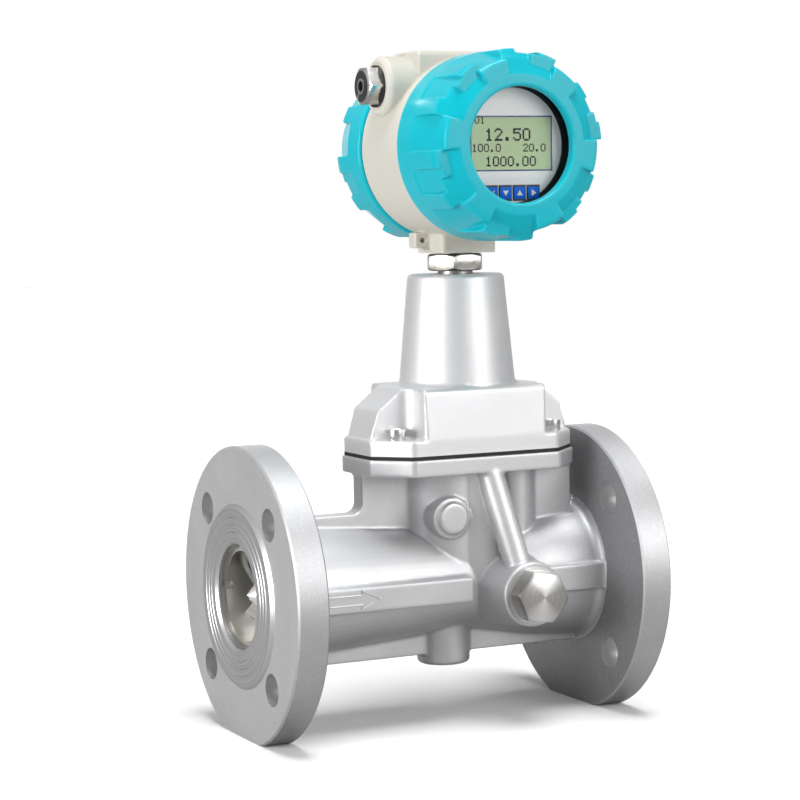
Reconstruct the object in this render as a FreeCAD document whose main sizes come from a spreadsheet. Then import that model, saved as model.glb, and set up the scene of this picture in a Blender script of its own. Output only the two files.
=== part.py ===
# Swirl flow meter, DN50: cast body, bolted bonnet and a swivelling electronics head.
# +X is the flow, the display looks along -Y and +Z is up.
# The origin is under the middle of the pipe, on the flats that the two flanges stand on.
import FreeCAD, Part
import math
import os
import re
import Sketcher
from FreeCAD import Placement, Rotation, Vector

os.makedirs("parts", exist_ok=True)
doc = FreeCAD.newDocument("swirl_meter")
sheet = doc.addObject("Spreadsheet::Sheet", "sizes")

driving = {
    # pipe run
    "axis_height": 78, "face_to_face": 230, "flange_radius": 82.5, "flange_thick": 18, "flange_edge": 1,
    "raised_radius": 51, "raised_height": 2, "raised_bevel": 2.2, "bolt_circle": 62.5, "bolt_hole": 9,
    "groove_first": 7.5, "groove_pitch": 4, "groove_half": 0.5, "groove_deep": 0.45, "mouth_edge": 1.5,
    "bore_radius": 25, "shell_wall": 4, "seat_depth": 53, "inlet_wall": 7.5, "outlet_wall": 9.5,
    "hub_fillet": 5, "throat_radius": 18, "throat_wall": 10.5, "throat_start": -10, "throat_end": 14,
    "waist_x": 22, "waist_bend": 60, "belly_x": 62, "belly_wall": 7, "belly_bend": 100,
    "overrun": 1, "bite": 1,
    # ribs, strips and bosses of the casting
    "web_thick": 12, "rib_top": 4.5, "rib_bottom": 5.5, "rib_corner": 6,
    "strip_proud": 1, "strip_end": 12, "strip_low": 8.3, "strip_high": 5.2,
    "outlet_strip_start": 55, "outlet_strip_proud": 2.5, "outlet_strip_half": 7.4,
    "column_x": 14, "column_radius": 26.7, "front_column_x": 32, "front_column_y": 6, "front_column_end": 31,
    "slim_column_x": 52, "slim_column_y": 11, "slim_column_radius": 12,
    "tower_inset": 1, "outlet_box_length": 43, "outlet_box_half": 17, "outlet_box_low": 20,
    "drain_x": 11.4, "drain_radius": 15, "drain_drop": 19.5, "drain_edge": 1.5,
    "tap_x": 40.2, "tap_low": 4.5, "tap_rise": 20, "tap_radius": 18.2, "tap_root": 22, "tap_edge": 1,
    "tap_thread": 10, "tap_depth": 24, "passage_radius": 1.5,
    "slant_top_x": 27, "slant_top_y": 30, "slant_foot_x": 37, "slant_inset": 8, "slant_foot_z": 4,
    "slant_radius": 7.5, "disc_x": 4, "disc_drop": 24.7, "disc_ring": 11.5, "disc_ring_proud": 2.3,
    "disc_radius": 8.7, "disc_proud": 3,
    # joint between body and bonnet
    "neck_x": 23.1, "joint_height": 72, "pad_length": 129, "pad_width": 75, "pad_corner": 19,
    "pad_thick": 9.5, "corner_round": 5, "gasket_thick": 2, "screw_inset_x": 14.5, "screw_inset_y": 14.7,
    "screw_radius": 3, "screw_head": 5, "screw_head_height": 6, "screw_into": 9.3, "screw_socket": 2.9,
    "screw_play": 0.05, "bonnet_inset_x": 1, "bonnet_inset_y": 1.3, "bonnet_corner": 18.5, "band_thick": 8.7,
    "side_inset": 1.3, "side_rise": 15.8, "side_draft": 4.9, "roof_rise": 12.1, "roof_run": 15.1,
    "screw_room": 0.5,
    "pocket_run": 6, "front_draft": 1.6, "pocket_round": 8, "side_round": 2.5, "plateau_round": 3,
    "neck_base": 33.3, "neck_top": 27.2, "neck_length": 62.1, "neck_fillet": 3, "neck_edge": 2.5,
    "flare_sunk": 0.3, "pocket_wall": 5, "front_wall": 8.2, "roof_wall": 7.6, "end_wall": 10.2,
    "neck_wall": 7, "neck_lid": 8,
    # swirler, straightener and their clips
    "seat_play": 0.05, "clip_inset": 3, "clip_thick": 1.6, "clip_groove": 2, "clip_band": 3.5, "clip_gap": 14,
    "clip_play": 0.05, "vane_count": 6, "vane_pitch": 130, "vane_start": 9.5, "vane_run": 26,
    "vane_thick": 2.8, "hub_radius": 8, "nose_length": 8, "keyway": 4, "keyway_turn": 80, "straight_vane": 2,
    "straight_start": 4, "straight_run": 30, "core_radius": 6,
    # sensors
    "probe_radius": 7, "probe_tip": 4, "probe_tip_in": 10, "probe_neck": 4, "probe_shoulder": 9,
    "probe_collar": 2, "probe_stem": 5, "probe_stem_play": 0.2, "probe_play": 0.1, "probe_sunk": 8,
    "probe_seal": 2.4, "gland_across": 22, "gland_high": 7, "probe_proud": 20,
    "warm_x": 54, "warm_radius": 3, "warm_tip": 4, "warm_head": 12, "warm_high": 7, "warm_lead": 8,
    "force_x": 27, "force_y": 18, "force_thread": 5, "force_depth": 7.5, "force_across": 14, "force_hex": 6,
    "force_can": 6.5, "force_high": 20, "force_gap": 1, "force_way": 2,
    # hexagons and the plug of the pressure tap
    "hex_slope": 2, "hex_clear": 0.01, "plug_across": 27, "plug_high": 11, "plug_length": 16,
    "plug_dome": 1.5, "plug_turn": 52, "washer_thick": 1.5, "washer_inset": 1.2,
    # nipple and lock nut
    "nipple_radius": 9.9, "nipple_bore": 6, "nipple_sunk": 12.7, "nipple_into": 16.5, "nipple_play": 0.05,
    "nut_across": 30, "nut_gap": 1.8, "nut_high": 9.5, "nut_dome": 1.6,
    # head housing, measured from the head's axis
    "foot_gap": 0.5, "head_drop": 8.2, "thread_radius": 44, "housing_wall": 6, "housing_edge": 0.8,
    "housing_front": 32, "housing_rear": 15, "collar_front": 18, "collar_rear": 14, "collar_wall": 4,
    "rear_collar_wall": 3,
    "partition_front": 24, "partition_thick": 4, "wire_hole": 6, "wire_rise": 20, "foot_half_x": 17,
    "foot_front": 18, "foot_back": 14, "foot_edge": 2,
    "lug_length": 9.5, "lug_front": 3.7, "lug_back": 5.3, "lug_rise": 3, "lug_tall": 8.8, "lug_hole": 1.5,
    "entry_y": 8, "entry_drop": 15.7, "entry_boss": 16.5, "entry_proud": 0.6, "entry_edge": 2,
    "entry_play": 0.05, "crown_half": 32.5, "crown_front": 24, "crown_back": 8, "crown_rise": 19,
    "crown_edge": 3,
    "seal_y": 3.2, "seal_wide": 2.6, "seal_deep": 2.2, "seal_play": 0.05,
    # covers
    "rim_gap": 0.5, "cover_wall": 7.5, "thread_play": 0.35, "front_nose": 32, "taper_run": 33,
    "arm_drop": 5.2, "lip_width": 9.9, "front_ring": 6.4, "lip_depth": 6, "lip_edge": 0.8, "glass_inset": 3,
    "glass_play": 0.05, "seat_depth_front": 16, "recess_angle": 38, "recess_drop": 8.5, "lug_angle": 18,
    "lug_turn": 10, "lug_width": 9.5, "side_wall": 1, "side_root": 2, "lug_front_drop": 3.2, "slot_angle": 16,
    "slot_start": 0.6, "slot_deep": 3, "grip_count": 6, "grip_turn": 22, "cover_edge": 1.2, "rear_nose": 22,
    "rear_taper_run": 21, "rear_lid": 6,
    # window pack
    "gasket_wide": 1, "gasket_inset": 1, "pane_thick": 3.5, "retainer_thick": 4, "retainer_width": 3.8,
    # display stack
    "board_thick": 1.6, "board_gap": 3, "main_board_y": 30, "carrier_gap": 0.8, "carrier_wall": 1.6,
    "carrier_deep": 10, "plate_thick": 1, "plate_back": 2.5, "lcd_half_x": 24.2, "lcd_half_z": 14.9,
    "lcd_rise": 1.8, "lcd_frame": 2.6, "post_turn": 45, "standoff_inset": 8, "standoff_radius": 2.5,
    "key_pitch": 8.55, "key_drop": 25.6, "key_half_x": 3.5, "key_half_z": 3.3, "key_play": 0.3,
    "key_proud": 0.8, "key_flange_x": 0.45, "key_flange_z": 0.9, "key_flange_thick": 1,
    "key_gap": 0.05, "key_stem": 1.4,
    "key_stem_gap": 0.8, "switch_half": 3, "switch_high": 3.5,
    # power and terminals
    "cell_radius": 13, "cell_half": 25, "cell_y": 5, "cell_drop": 10.7, "cell_cap": 4, "cell_cap_high": 1.5,
    "holder_wall": 2, "holder_half": 27, "holder_over": 2, "terminal_y": 12, "terminal_half_x": 26,
    "terminal_half_z": 6, "terminal_deep": 11, "terminal_pitch": 8, "terminal_screw": 2.2,
    "terminal_post_inset": 6, "terminal_slot_half": 0.4, "terminal_slot_deep": 0.5, "terminal_sunk": 1,
    # cable entries
    "gland_hex": 20, "gland_hex_high": 8, "gland_turn": 30,
    "gland_hole": 3, "gland_thread": 9, "gland_length": 14,
    "entry_seal": 1.5, "entry_seal_radius": 11.5, "stopper_high": 5,
}
# what seats on, fits in or lines up with another piece; heights are from the pipe axis
derived = {
    "seat_radius": "bore_radius + shell_wall", "hub_inlet": "seat_radius + inlet_wall",
    "hub_outlet": "seat_radius + outlet_wall", "waist_radius": "throat_radius + throat_wall",
    "belly_radius": "seat_radius + belly_wall", "rib_high": "hub_inlet + rib_top",
    "rib_low": "hub_inlet + rib_bottom", "strip_reach": "hub_inlet + strip_proud",
    "outlet_strip_reach": "hub_outlet + outlet_strip_proud", "drain_low": "waist_radius + drain_drop",
    "tap_reach": "belly_radius + tap_rise", "slant_foot_y": "tap_reach - slant_inset",
    "disc_z": "joint_height - pad_thick - disc_drop", "disc_ring_reach": "column_radius + disc_ring_proud",
    "disc_reach": "disc_ring_reach + disc_proud", "bonnet_length": "pad_length - 2 * bonnet_inset_x",
    "bonnet_width": "pad_width - 2 * bonnet_inset_y", "screw_x": "bonnet_length / 2 - screw_inset_x",
    "screw_y": "bonnet_width / 2 - screw_inset_y", "ledge_height": "joint_height + gasket_thick + band_thick",
    "screw_length": "ledge_height - joint_height + screw_into", "side_foot": "bonnet_length / 2 - side_inset",
    "roof_foot": "side_foot - side_draft", "roof_foot_height": "ledge_height + side_rise",
    "plateau_half": "roof_foot - roof_run", "plateau_height": "roof_foot_height + roof_rise",
    "front_foot": "bonnet_width / 2", "front_top": "front_foot - front_draft",
    "neck_height": "plateau_height + neck_length",
    "neck_slope": "(neck_base - neck_top) / (neck_length + plateau_round)",
    "pocket_half": "screw_y - screw_head - screw_room", "front_half": "screw_x - screw_head - pocket_run",
    "chamber_x": "front_half - pocket_wall", "side_chamber_x": "side_foot - end_wall",
    "side_chamber_y": "pocket_half - pocket_wall", "chamber_y": "front_foot - front_wall",
    "chamber_height": "plateau_height - roof_wall", "side_chamber_height": "roof_foot_height - roof_wall",
    "probe_step": "joint_height - probe_sunk", "probe_tip_height": "throat_radius - probe_tip_in",
    "probe_top": "joint_height + probe_proud", "washer_radius": "tap_radius - washer_inset",
    "nut_low": "neck_height + nut_gap", "foot_low": "nut_low + nut_high + foot_gap",
    "nipple_low": "neck_height - nipple_sunk", "nipple_high": "foot_low + nipple_into",
    "housing_radius": "thread_radius + housing_wall", "head_z": "foot_low + housing_radius + head_drop",
    "lug_low": "foot_low + lug_rise", "lug_high": "lug_low + lug_tall",
    "thread_front": "housing_front + collar_front", "thread_rear": "housing_rear + collar_rear",
    "cavity_radius": "thread_radius - collar_wall", "partition_rear": "partition_front - partition_thick",
    "entry_z": "head_z + housing_radius - entry_drop", "entry_reach": "housing_radius + entry_proud",
    "entry_bore": "gland_thread + entry_play", "crown_top": "entry_z + crown_rise",
    "cover_radius": "thread_radius + cover_wall", "front_reach": "thread_front + front_nose",
    "taper_start": "front_reach - taper_run", "arm_radius": "cover_radius - arm_drop",
    "glass_radius": "thread_radius - glass_inset", "lip_radius": "glass_radius - lip_width",
    "ring_radius": "lip_radius + front_ring", "seat_back": "front_reach - seat_depth_front",
    "lug_inner": "cover_radius - lug_width", "side_inner": "thread_radius + side_wall",
    "slot_radius": "cover_radius - slot_deep", "rear_reach": "thread_rear + rear_nose",
    "rear_taper_start": "rear_reach - rear_taper_run", "retainer_inner": "glass_radius - retainer_width",
    "board_radius": "cavity_radius - board_gap", "carrier_radius": "retainer_inner - carrier_gap",
    "standoff_circle": "board_radius - standoff_inset", "terminal_post": "board_radius - terminal_post_inset",
    "carrier_front": "front_reach - lip_depth - gasket_wide - pane_thick - plate_back - plate_thick",
    "display_board_y": "carrier_front - carrier_deep",
}
rows = list(driving.items()) + [(alias, "=" + text) for alias, text in derived.items()]
for row, (alias, size) in enumerate(rows, 1):
    sheet.set("A%d" % row, alias)
    sheet.set("B%d" % row, str(size))
    sheet.setAlias("B%d" % row, alias)
doc.recompute()

nodes = []
lifts = {}
middle = ("0", "0", "0")
ways = {"+z": Rotation(), "-z": Rotation(Vector(1, 0, 0), 180),
        "+x": Rotation(Vector(0, 1, 0), 90), "-x": Rotation(Vector(0, 1, 0), -90),
        "+y": Rotation(Vector(1, 0, 0), -90), "-y": Rotation(Vector(1, 0, 0), 90)}


def formula(text):
    return re.sub(r"\b([a-z][a-z_0-9]*)\b(?!\()", r"sizes.\1", text)


def value(text):
    return float(sheet.evalExpression(formula(text)))


def tie(item, prop, text):
    item.setExpression(prop, formula(text))


def place(item, at, turn=None):
    if turn is not None:
        item.Placement = Placement(Vector(), turn)
    for letter, text in zip("xyz", at):
        tie(item, "Placement.Base." + letter, text)
    lifts[item.Name] = at[2]
    return item


def node(item, name):
    # pieces are laid out from the pipe axis and stand on the flange flats
    item.Label = name
    tie(item, "Placement.Base.z", "axis_height + (%s)" % lifts.get(item.Name, "0"))
    nodes.append(item)
    return item


# primitives


def rod(name, radius, length, at, way="+z"):
    item = doc.addObject("Part::Cylinder", name)
    tie(item, "Radius", radius)
    tie(item, "Height", length)
    return place(item, at, ways[way])


def block(name, low, high):
    item = doc.addObject("Part::Box", name)
    for prop, start, end in zip(("Length", "Width", "Height"), low, high):
        tie(item, prop, "(%s) - (%s)" % (end, start))
    return place(item, low)


def hexagon(name, across, height, at, way="+z"):
    item = doc.addObject("Part::Prism", name)
    item.Polygon = 6
    tie(item, "Circumradius", "%s / sqrt(3)" % across)
    tie(item, "Height", height)
    return place(item, at, ways[way])


def join(name, *items):
    if len(items) == 2:
        item = doc.addObject("Part::Fuse", name)
        item.Base, item.Tool = items
    else:
        item = doc.addObject("Part::MultiFuse", name)
        item.Shapes = list(items)
    item.Refine = True
    return item


def carve(name, base, *tools):
    item = doc.addObject("Part::Cut", name)
    item.Base = base
    item.Tool = tools[0] if len(tools) == 1 else join(name + "_tools", *tools)
    item.Refine = True
    return item


def overlap(name, base, tool):
    item = doc.addObject("Part::Common", name)
    item.Base = base
    item.Tool = tool
    return item


def group(name, items):
    item = doc.addObject("Part::Compound", name)
    item.Links = list(items)
    return item


def rounded(name, base, radius, axis):
    # rounds the edges that run along the given axis
    doc.recompute()
    item = doc.addObject("Part::Fillet", name)
    item.Base = base
    size = value(radius)
    runs = [edge.tangentAt(edge.FirstParameter) for edge in base.Shape.Edges]
    item.Edges = [(i, size, size) for i, run in enumerate(runs, 1) if run.cross(axis).Length < 1e-6]
    return item


# sketched features


def outline(body, plane, corners, spin=0, lift="0"):
    # a closed outline; a corner with a third entry is rounded to that radius
    sketch = body.newObject("Sketcher::SketchObject", body.Name + "_outline")
    support = [f for f in body.Origin.OriginFeatures if f.Role == plane]
    sketch.AttachmentSupport = [(support[0], "")]
    sketch.MapMode = "FlatFace"
    sketch.AttachmentOffset = Placement(Vector(), Rotation(Vector(0, 1, 0), spin))
    tie(sketch, "AttachmentOffset.Base.z", lift)
    points = [Vector(value(c[0]), value(c[1]), 0) for c in corners]
    starts, ends, arcs = list(points), list(points), {}
    for i, corner in enumerate(corners):
        if len(corner) == 3:
            back = (points[i - 1] - points[i]).normalize()
            ahead = (points[(i + 1) % len(points)] - points[i]).normalize()
            half_angle = back.getAngle(ahead) / 2
            radius = value(corner[2])
            ends[i] = points[i] + back * (radius / math.tan(half_angle))
            starts[i] = points[i] + ahead * (radius / math.tan(half_angle))
            centre = points[i] + (back + ahead).normalize() * (radius / math.sin(half_angle))
            arcs[i] = bend(centre, radius, ends[i] - centre, starts[i] - centre)
    count = len(points)
    lines = [sketch.addGeometry(Part.LineSegment(starts[i], ends[(i + 1) % count])) for i in range(count)]
    for i in range(count):
        if i in arcs:
            round_corner(sketch, lines[i - 1], lines[i], arcs[i], points[i], corners[i])
        else:
            sketch.addConstraint(Sketcher.Constraint("Coincident", lines[i - 1], 2, lines[i], 1))
            pin(sketch, lines[i], 1, corners[i], points[i])
    return sketch


def bend(centre, radius, first, last):
    # the short way round, counter-clockwise
    if first.cross(last).z < 0:
        first, last = last, first
    start, end = math.atan2(first.y, first.x), math.atan2(last.y, last.x)
    return Part.ArcOfCircle(Part.Circle(centre, Vector(0, 0, 1), radius), start, end)


def pin(sketch, item, end, corner, point):
    for kind, text, size in (("DistanceX", corner[0], point.x), ("DistanceY", corner[1], point.y)):
        number = sketch.addConstraint(Sketcher.Constraint(kind, -1, 1, item, end, size))
        tie(sketch, "Constraints[%d]" % number, text)


def round_corner(sketch, before, after, curve, point, corner):
    arc = sketch.addGeometry(curve)
    held = sketch.Geometry[arc]
    near_start = held.StartPoint.distanceToPoint(sketch.Geometry[before].EndPoint) < 1e-6
    first, last = (1, 2) if near_start else (2, 1)
    sketch.addConstraint(Sketcher.Constraint("Tangent", before, 2, arc, first))
    sketch.addConstraint(Sketcher.Constraint("Tangent", after, 1, arc, last))
    number = sketch.addConstraint(Sketcher.Constraint("Radius", arc, held.Radius))
    tie(sketch, "Constraints[%d]" % number, corner[2])
    mark = sketch.addGeometry(Part.Point(point), True)
    sketch.addConstraint(Sketcher.Constraint("PointOnObject", mark, 1, before))
    sketch.addConstraint(Sketcher.Constraint("PointOnObject", mark, 1, after))
    pin(sketch, mark, 1, corner, point)


def extruded(name, plane, corners, length, at=middle, lift="0", both=True):
    body = doc.addObject("PartDesign::Body", name)
    pad = body.newObject("PartDesign::Pad", name + "_pad")
    pad.Profile = outline(body, plane, corners, lift=lift)
    tie(pad, "Length", length)
    pad.SideType = "Symmetric" if both else "One side"
    return place(body, at)


def turned(name, axis, corners, at=middle):
    # corners are pairs of place along the axis and radius
    body = doc.addObject("PartDesign::Body", name)
    spin = body.newObject("PartDesign::Revolution", name + "_turn")
    spin.Profile = axial_outline(body, axis, corners)
    spin.ReferenceAxis = (spin.Profile[0], ["H_Axis" if axis == "x" else "V_Axis"])
    return place(body, at)


def axial_outline(body, axis, corners, spin=0):
    plane = "XY_Plane" if axis == "y" else "XZ_Plane"
    swapped = corners if axis == "x" else [(c[1], c[0]) + tuple(c[2:]) for c in corners]
    return outline(body, plane, swapped, spin)


def sector(body, kind, name, corners, angle, spin):
    # part of a turn about the body's Y axis, centred on the spin angle
    feature = body.newObject("PartDesign::" + kind, name)
    feature.Profile = axial_outline(body, "y", corners, spin)
    feature.ReferenceAxis = (feature.Profile[0], ["V_Axis"])
    tie(feature, "Angle", angle)
    feature.Midplane = True
    return feature


def octagon(centre, length, width, corner, soft):
    x0, x1 = "%s - %s / 2" % (centre, length), "%s + %s / 2" % (centre, length)
    y0, y1 = "-%s / 2" % width, "%s / 2" % width
    return [(x0, "%s + %s" % (y0, corner), soft), ("%s + %s" % (x0, corner), y0, soft),
            ("%s - %s" % (x1, corner), y0, soft), (x1, "%s + %s" % (y0, corner), soft),
            (x1, "%s - %s" % (y1, corner), soft), ("%s - %s" % (x1, corner), y1, soft),
            ("%s + %s" % (x0, corner), y1, soft), (x0, "%s - %s" % (y1, corner), soft)]


def between(name, radius, foot, head):
    start, end = Vector(*[value(t) for t in foot]), Vector(*[value(t) for t in head])
    item = doc.addObject("Part::Cylinder", name)
    tie(item, "Radius", radius)
    item.Height = start.distanceToPoint(end)
    item.Placement = Placement(start, Rotation(Vector(0, 0, 1), end - start))
    return item


def hex_head(name, across, high, dome, low_dome="0"):
    # hexagon with its corners turned off, standing on its own origin
    corner = "%s / sqrt(3)" % across
    clear = corner + " + hex_clear"
    prism = hexagon(name + "_hexagon", across, high, middle)
    envelope = turned(name + "_envelope", "z", [
        ("0", "0"), ("0", "%s - hex_slope * %s" % (corner, low_dome)), (low_dome + " + hex_clear", clear),
        ("%s - %s" % (high, dome), clear), (high, "%s - hex_slope * %s" % (corner, dome)), (high, "0")])
    return overlap(name, prism, envelope)


def ring(name, axis, low, high, inner, outer, at):
    return turned(name, axis, [(low, inner), (low, outer), (high, outer), (high, inner)], at)


# cast body with both flanges

half = "face_to_face / 2"
face = "(face_to_face / 2 - raised_height)"
back = "(face_to_face / 2 - raised_height - flange_thick)"
pad_under = "(joint_height - pad_thick)"
tower_top = pad_under + " + bite"
tower_low = "(neck_x - pad_length / 2 + tower_inset)"
tower_high = "(neck_x + pad_length / 2 - tower_inset)"

rim = "flange_radius - flange_edge"
sealing = "raised_radius - raised_bevel"
pipe = turned("pipe", "x", [
    ("-" + half, "0"), ("-" + half, sealing), ("-" + face, "raised_radius"), ("-" + face, rim),
    ("-%s + flange_edge" % face, "flange_radius"), ("-%s - flange_edge" % back, "flange_radius"),
    ("-" + back, rim), ("-" + back, "hub_inlet", "hub_fillet"), ("waist_x", "waist_radius", "waist_bend"),
    ("belly_x", "belly_radius", "belly_bend"), (back, "hub_outlet", "hub_fillet"), (back, rim),
    (back + " + flange_edge", "flange_radius"), (face + " - flange_edge", "flange_radius"), (face, rim),
    (face, "raised_radius"), (half, sealing), (half, "0")])
ribs = extruded("ribs", "XZ_Plane", [
    ("-%s - bite" % back, "-rib_low"), (back + " + bite", "-rib_low"), (back + " + bite", "rib_high"),
    (tower_high, "rib_high", "rib_corner / 2"), (tower_high, tower_top), (tower_low, tower_top),
    (tower_low, "rib_high", "rib_corner"), ("-%s - bite" % back, "rib_high")], "web_thick")
pad = extruded("pad", "XY_Plane", octagon("neck_x", "pad_length", "pad_width", "pad_corner", "corner_round"),
               "pad_thick", lift=pad_under, both=False)
column = rod("column", "column_radius", tower_top, ("column_x", "0", "0"))
# a second column in front of the first, cut off behind the slanting pressure pipe
front_column = overlap("front_column",
                       rod("front_column_rod", "column_radius", tower_top,
                           ("front_column_x", "-front_column_y", "0")),
                       block("front_column_limit", ("front_column_x - 2 * column_radius", "-pad_width", "0"),
                             ("front_column_end", "pad_width", tower_top)))
slim_column = rod("slim_column", "slim_column_radius", tower_top, ("slim_column_x", "-slim_column_y", "0"))
outlet_box = block("outlet_box", (tower_high + " - outlet_box_length", "-outlet_box_half", "outlet_box_low"),
                   (tower_high, "outlet_box_half", tower_top))
inlet_strip = block("inlet_strip", ("-%s - bite" % back, "-strip_reach", "-strip_low"),
                    ("strip_end", "strip_reach", "strip_high"))
outlet_strip = block("outlet_strip", ("outlet_strip_start", "-outlet_strip_reach", "-outlet_strip_half"),
                     (back + " + bite", "outlet_strip_reach", "outlet_strip_half"))
drain = turned("drain", "z", [
    ("-drain_low", "0"), ("-drain_low", "drain_radius - drain_edge"),
    ("-drain_low + drain_edge", "drain_radius"), ("-throat_radius", "drain_radius"),
    ("-throat_radius", "0")], ("drain_x", "0", "0"))
tap = turned("tap", "y", [
    ("-tap_reach", "0"), ("-tap_reach", "tap_radius - tap_edge"), ("-tap_reach + tap_edge", "tap_radius"),
    ("-throat_radius", "tap_root"), ("-throat_radius", "0")], ("tap_x", "0", "-tap_low"))
slant_foot = ("slant_foot_x", "-slant_foot_y", "slant_foot_z")
slant = between("slant", "slant_radius", slant_foot, ("slant_top_x", "-slant_top_y", tower_top))
disc_ring = rod("disc_ring_boss", "disc_ring", "disc_ring_reach", ("disc_x", "0", "disc_z"), "-y")
disc = rod("disc_boss", "disc_radius", "disc_reach", ("disc_x", "0", "disc_z"), "-y")
casting = join("casting", pipe, ribs, pad, column, front_column, slim_column, outlet_box, inlet_strip,
               outlet_strip, drain, tap, slant, disc_ring, disc)

seat_end = "(face_to_face / 2 - seat_depth)"
mouth = "seat_radius + mouth_edge + overrun"
bore = turned("bore", "x", [
    ("-%s - overrun" % half, "0"), ("-%s - overrun" % half, mouth),
    ("-%s + mouth_edge" % half, "seat_radius"), ("-" + seat_end, "seat_radius"),
    ("-" + seat_end, "bore_radius"), ("throat_start", "throat_radius"),
    ("throat_end", "throat_radius"), (seat_end, "bore_radius"), (seat_end, "seat_radius"),
    (half + " - mouth_edge", "seat_radius"), (half + " + overrun", mouth), (half + " + overrun", "0")])
groove_count = 3
face_grooves = []
for end in ("inlet", "outlet"):
    # V grooves in the raised face, drawn past it by their own depth
    sign = "-1" if end == "inlet" else "1"
    for i in range(groove_count):
        radius = "raised_radius - groove_first - %d * groove_pitch" % i
        outside = "%s * (%s + groove_deep)" % (sign, half)
        face_grooves.append(turned("%s_face_groove_%d" % (end, i + 1), "x", [
            (outside, radius + " - 2 * groove_half"), ("%s * (%s - groove_deep)" % (sign, half), radius),
            (outside, radius + " + 2 * groove_half")]))
clip_seat = "seat_radius + clip_groove"
clip_room = "clip_thick + 2 * clip_play"
clip_seats = [rod("inlet_clip_seat", clip_seat, clip_room,
                  ("-%s + clip_inset - clip_play" % half, "0", "0"), "+x"),
              rod("outlet_clip_seat", clip_seat, clip_room,
                  (half + " - clip_inset + clip_play", "0", "0"), "-x")]
bolt_step = "%d * bolt_circle / sqrt(2)"
bolt_run = "%s - %s + 2 * overrun" % (face, back)
bolt_holes = [rod("%s_bolt_hole_%d" % (end, i), "bolt_hole", bolt_run,
                  ("%s(%s - overrun)" % (sign, back), bolt_step % side, bolt_step % level), way)
              for end, sign, way in (("inlet", "-", "-x"), ("outlet", "", "+x"))
              for i, (side, level) in enumerate(((-1, -1), (-1, 1), (1, -1), (1, 1)), 1)]
flats = block("flats", ("-face_to_face", "-flange_radius - overrun", "-flange_radius - overrun"),
              ("face_to_face", "flange_radius + overrun", "-axis_height"))
probe_bores = [rod("probe_bore", "probe_radius + probe_play", "joint_height", ("column_x", "0", "0")),
               rod("probe_counterbore", "probe_shoulder + probe_play", "joint_height - probe_step + overrun",
                   ("column_x", "0", "probe_step")),
               rod("warm_bore", "warm_radius + probe_play", "joint_height + overrun", ("warm_x", "0", "0")),
               rod("force_bore", "force_thread + probe_play", "force_depth + overrun",
                   ("force_x", "-force_y", "joint_height - force_depth"))]
force_low = "joint_height - force_depth + force_gap"
tap_bores = [rod("tap_bore", "tap_thread + screw_play", "tap_depth + overrun",
                 ("tap_x", "-tap_reach - overrun", "-tap_low"), "+y"),
             rod("tap_passage", "passage_radius", "tap_reach - throat_radius",
                 ("tap_x", "-tap_reach", "-tap_low"), "+y"),
             between("slant_passage", "passage_radius", slant_foot,
                     ("force_x", "-force_y - force_way", force_low))]
screw_places = [("neck_x + %d * screw_x" % i, "%d * screw_y" % j) for i in (-1, 1) for j in (-1, 1)]
pad_holes = [rod("pad_hole_%d" % i, "screw_radius + screw_play", "screw_into + 2 * overrun",
                 (x, y, "joint_height - screw_into - overrun")) for i, (x, y) in enumerate(screw_places, 1)]
node(carve("meter_body", casting, bore, *face_grooves, *clip_seats, *bolt_holes, flats, *probe_bores,
           *tap_bores, *pad_holes), "meter_body")

# swirler: shell, hub with a nose and a set of helical vanes

shell_front = "(-face_to_face / 2 + clip_inset + clip_thick + clip_play)"
vane_low = "(%s + vane_start)" % shell_front
vane_end = "(%s + vane_run)" % vane_low
shell = ring("swirler_shell", "x", shell_front, "-" + seat_end, "bore_radius", "seat_radius - seat_play",
             middle)
vanes = doc.addObject("PartDesign::Body", "swirler_vanes")
hub = vanes.newObject("PartDesign::Revolution", "swirler_hub")
hub.Profile = outline(vanes, "XZ_Plane", [
    (vane_low + " - nose_length", "0"), (vane_low, "hub_radius", "nose_length"),
    (vane_end + " + vane_thick", "hub_radius", "hub_radius / 2"), (vane_end + " + vane_thick", "0")])
hub.ReferenceAxis = (hub.Profile[0], ["H_Axis"])
vane = vanes.newObject("PartDesign::AdditiveHelix", "swirler_vane")
vane.Profile = outline(vanes, "XZ_Plane", [
    (vane_low, "hub_radius / 2"), (vane_low + " + vane_thick", "hub_radius / 2"),
    (vane_low + " + vane_thick", "bore_radius + bite"), (vane_low, "bore_radius + bite")])
vane.ReferenceAxis = (vane.Profile[0], ["H_Axis"])
vane.Mode = "pitch-height-angle"
vane.LeftHanded = True
tie(vane, "Pitch", "vane_pitch")
tie(vane, "Height", "vane_run")
doc.recompute()
vane_ring = vanes.newObject("PartDesign::PolarPattern", "swirler_vane_ring")
vane_ring.Originals = [vane]
vane_ring.Axis = (hub.Profile[0], ["H_Axis"])
tie(vane_ring, "Occurrences", "vane_count")
vanes.Tip = vane_ring
keyway = block("keyway", (shell_front + " - overrun", "-keyway / 2", "0"),
               (shell_front + " + keyway", "keyway / 2", "seat_radius + overrun"))
keyway.Placement = Placement(Vector(), Rotation(Vector(1, 0, 0), -value("keyway_turn")))
node(carve("swirler", join("swirler_blank", shell, vanes), keyway), "swirler")


def clip(name, low, high):
    # open ring with its gap at the top
    outer = clip_seat + " - clip_play"
    band = ring(name + "_band", "x", low, high, outer + " - clip_band", outer, middle)
    gap = block(name + "_gap", (low + " - overrun", "-clip_gap / 2", "0"),
                (high + " + overrun", "clip_gap / 2", clip_seat + " + overrun"))
    return node(carve(name, band, gap), name)


clip("swirler_clip", "-%s + clip_inset" % half, "-%s + clip_inset + clip_thick" % half)
clip("straightener_clip", half + " - clip_inset - clip_thick", half + " - clip_inset")

# flow straightener: shell, core and crossed plates

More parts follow.
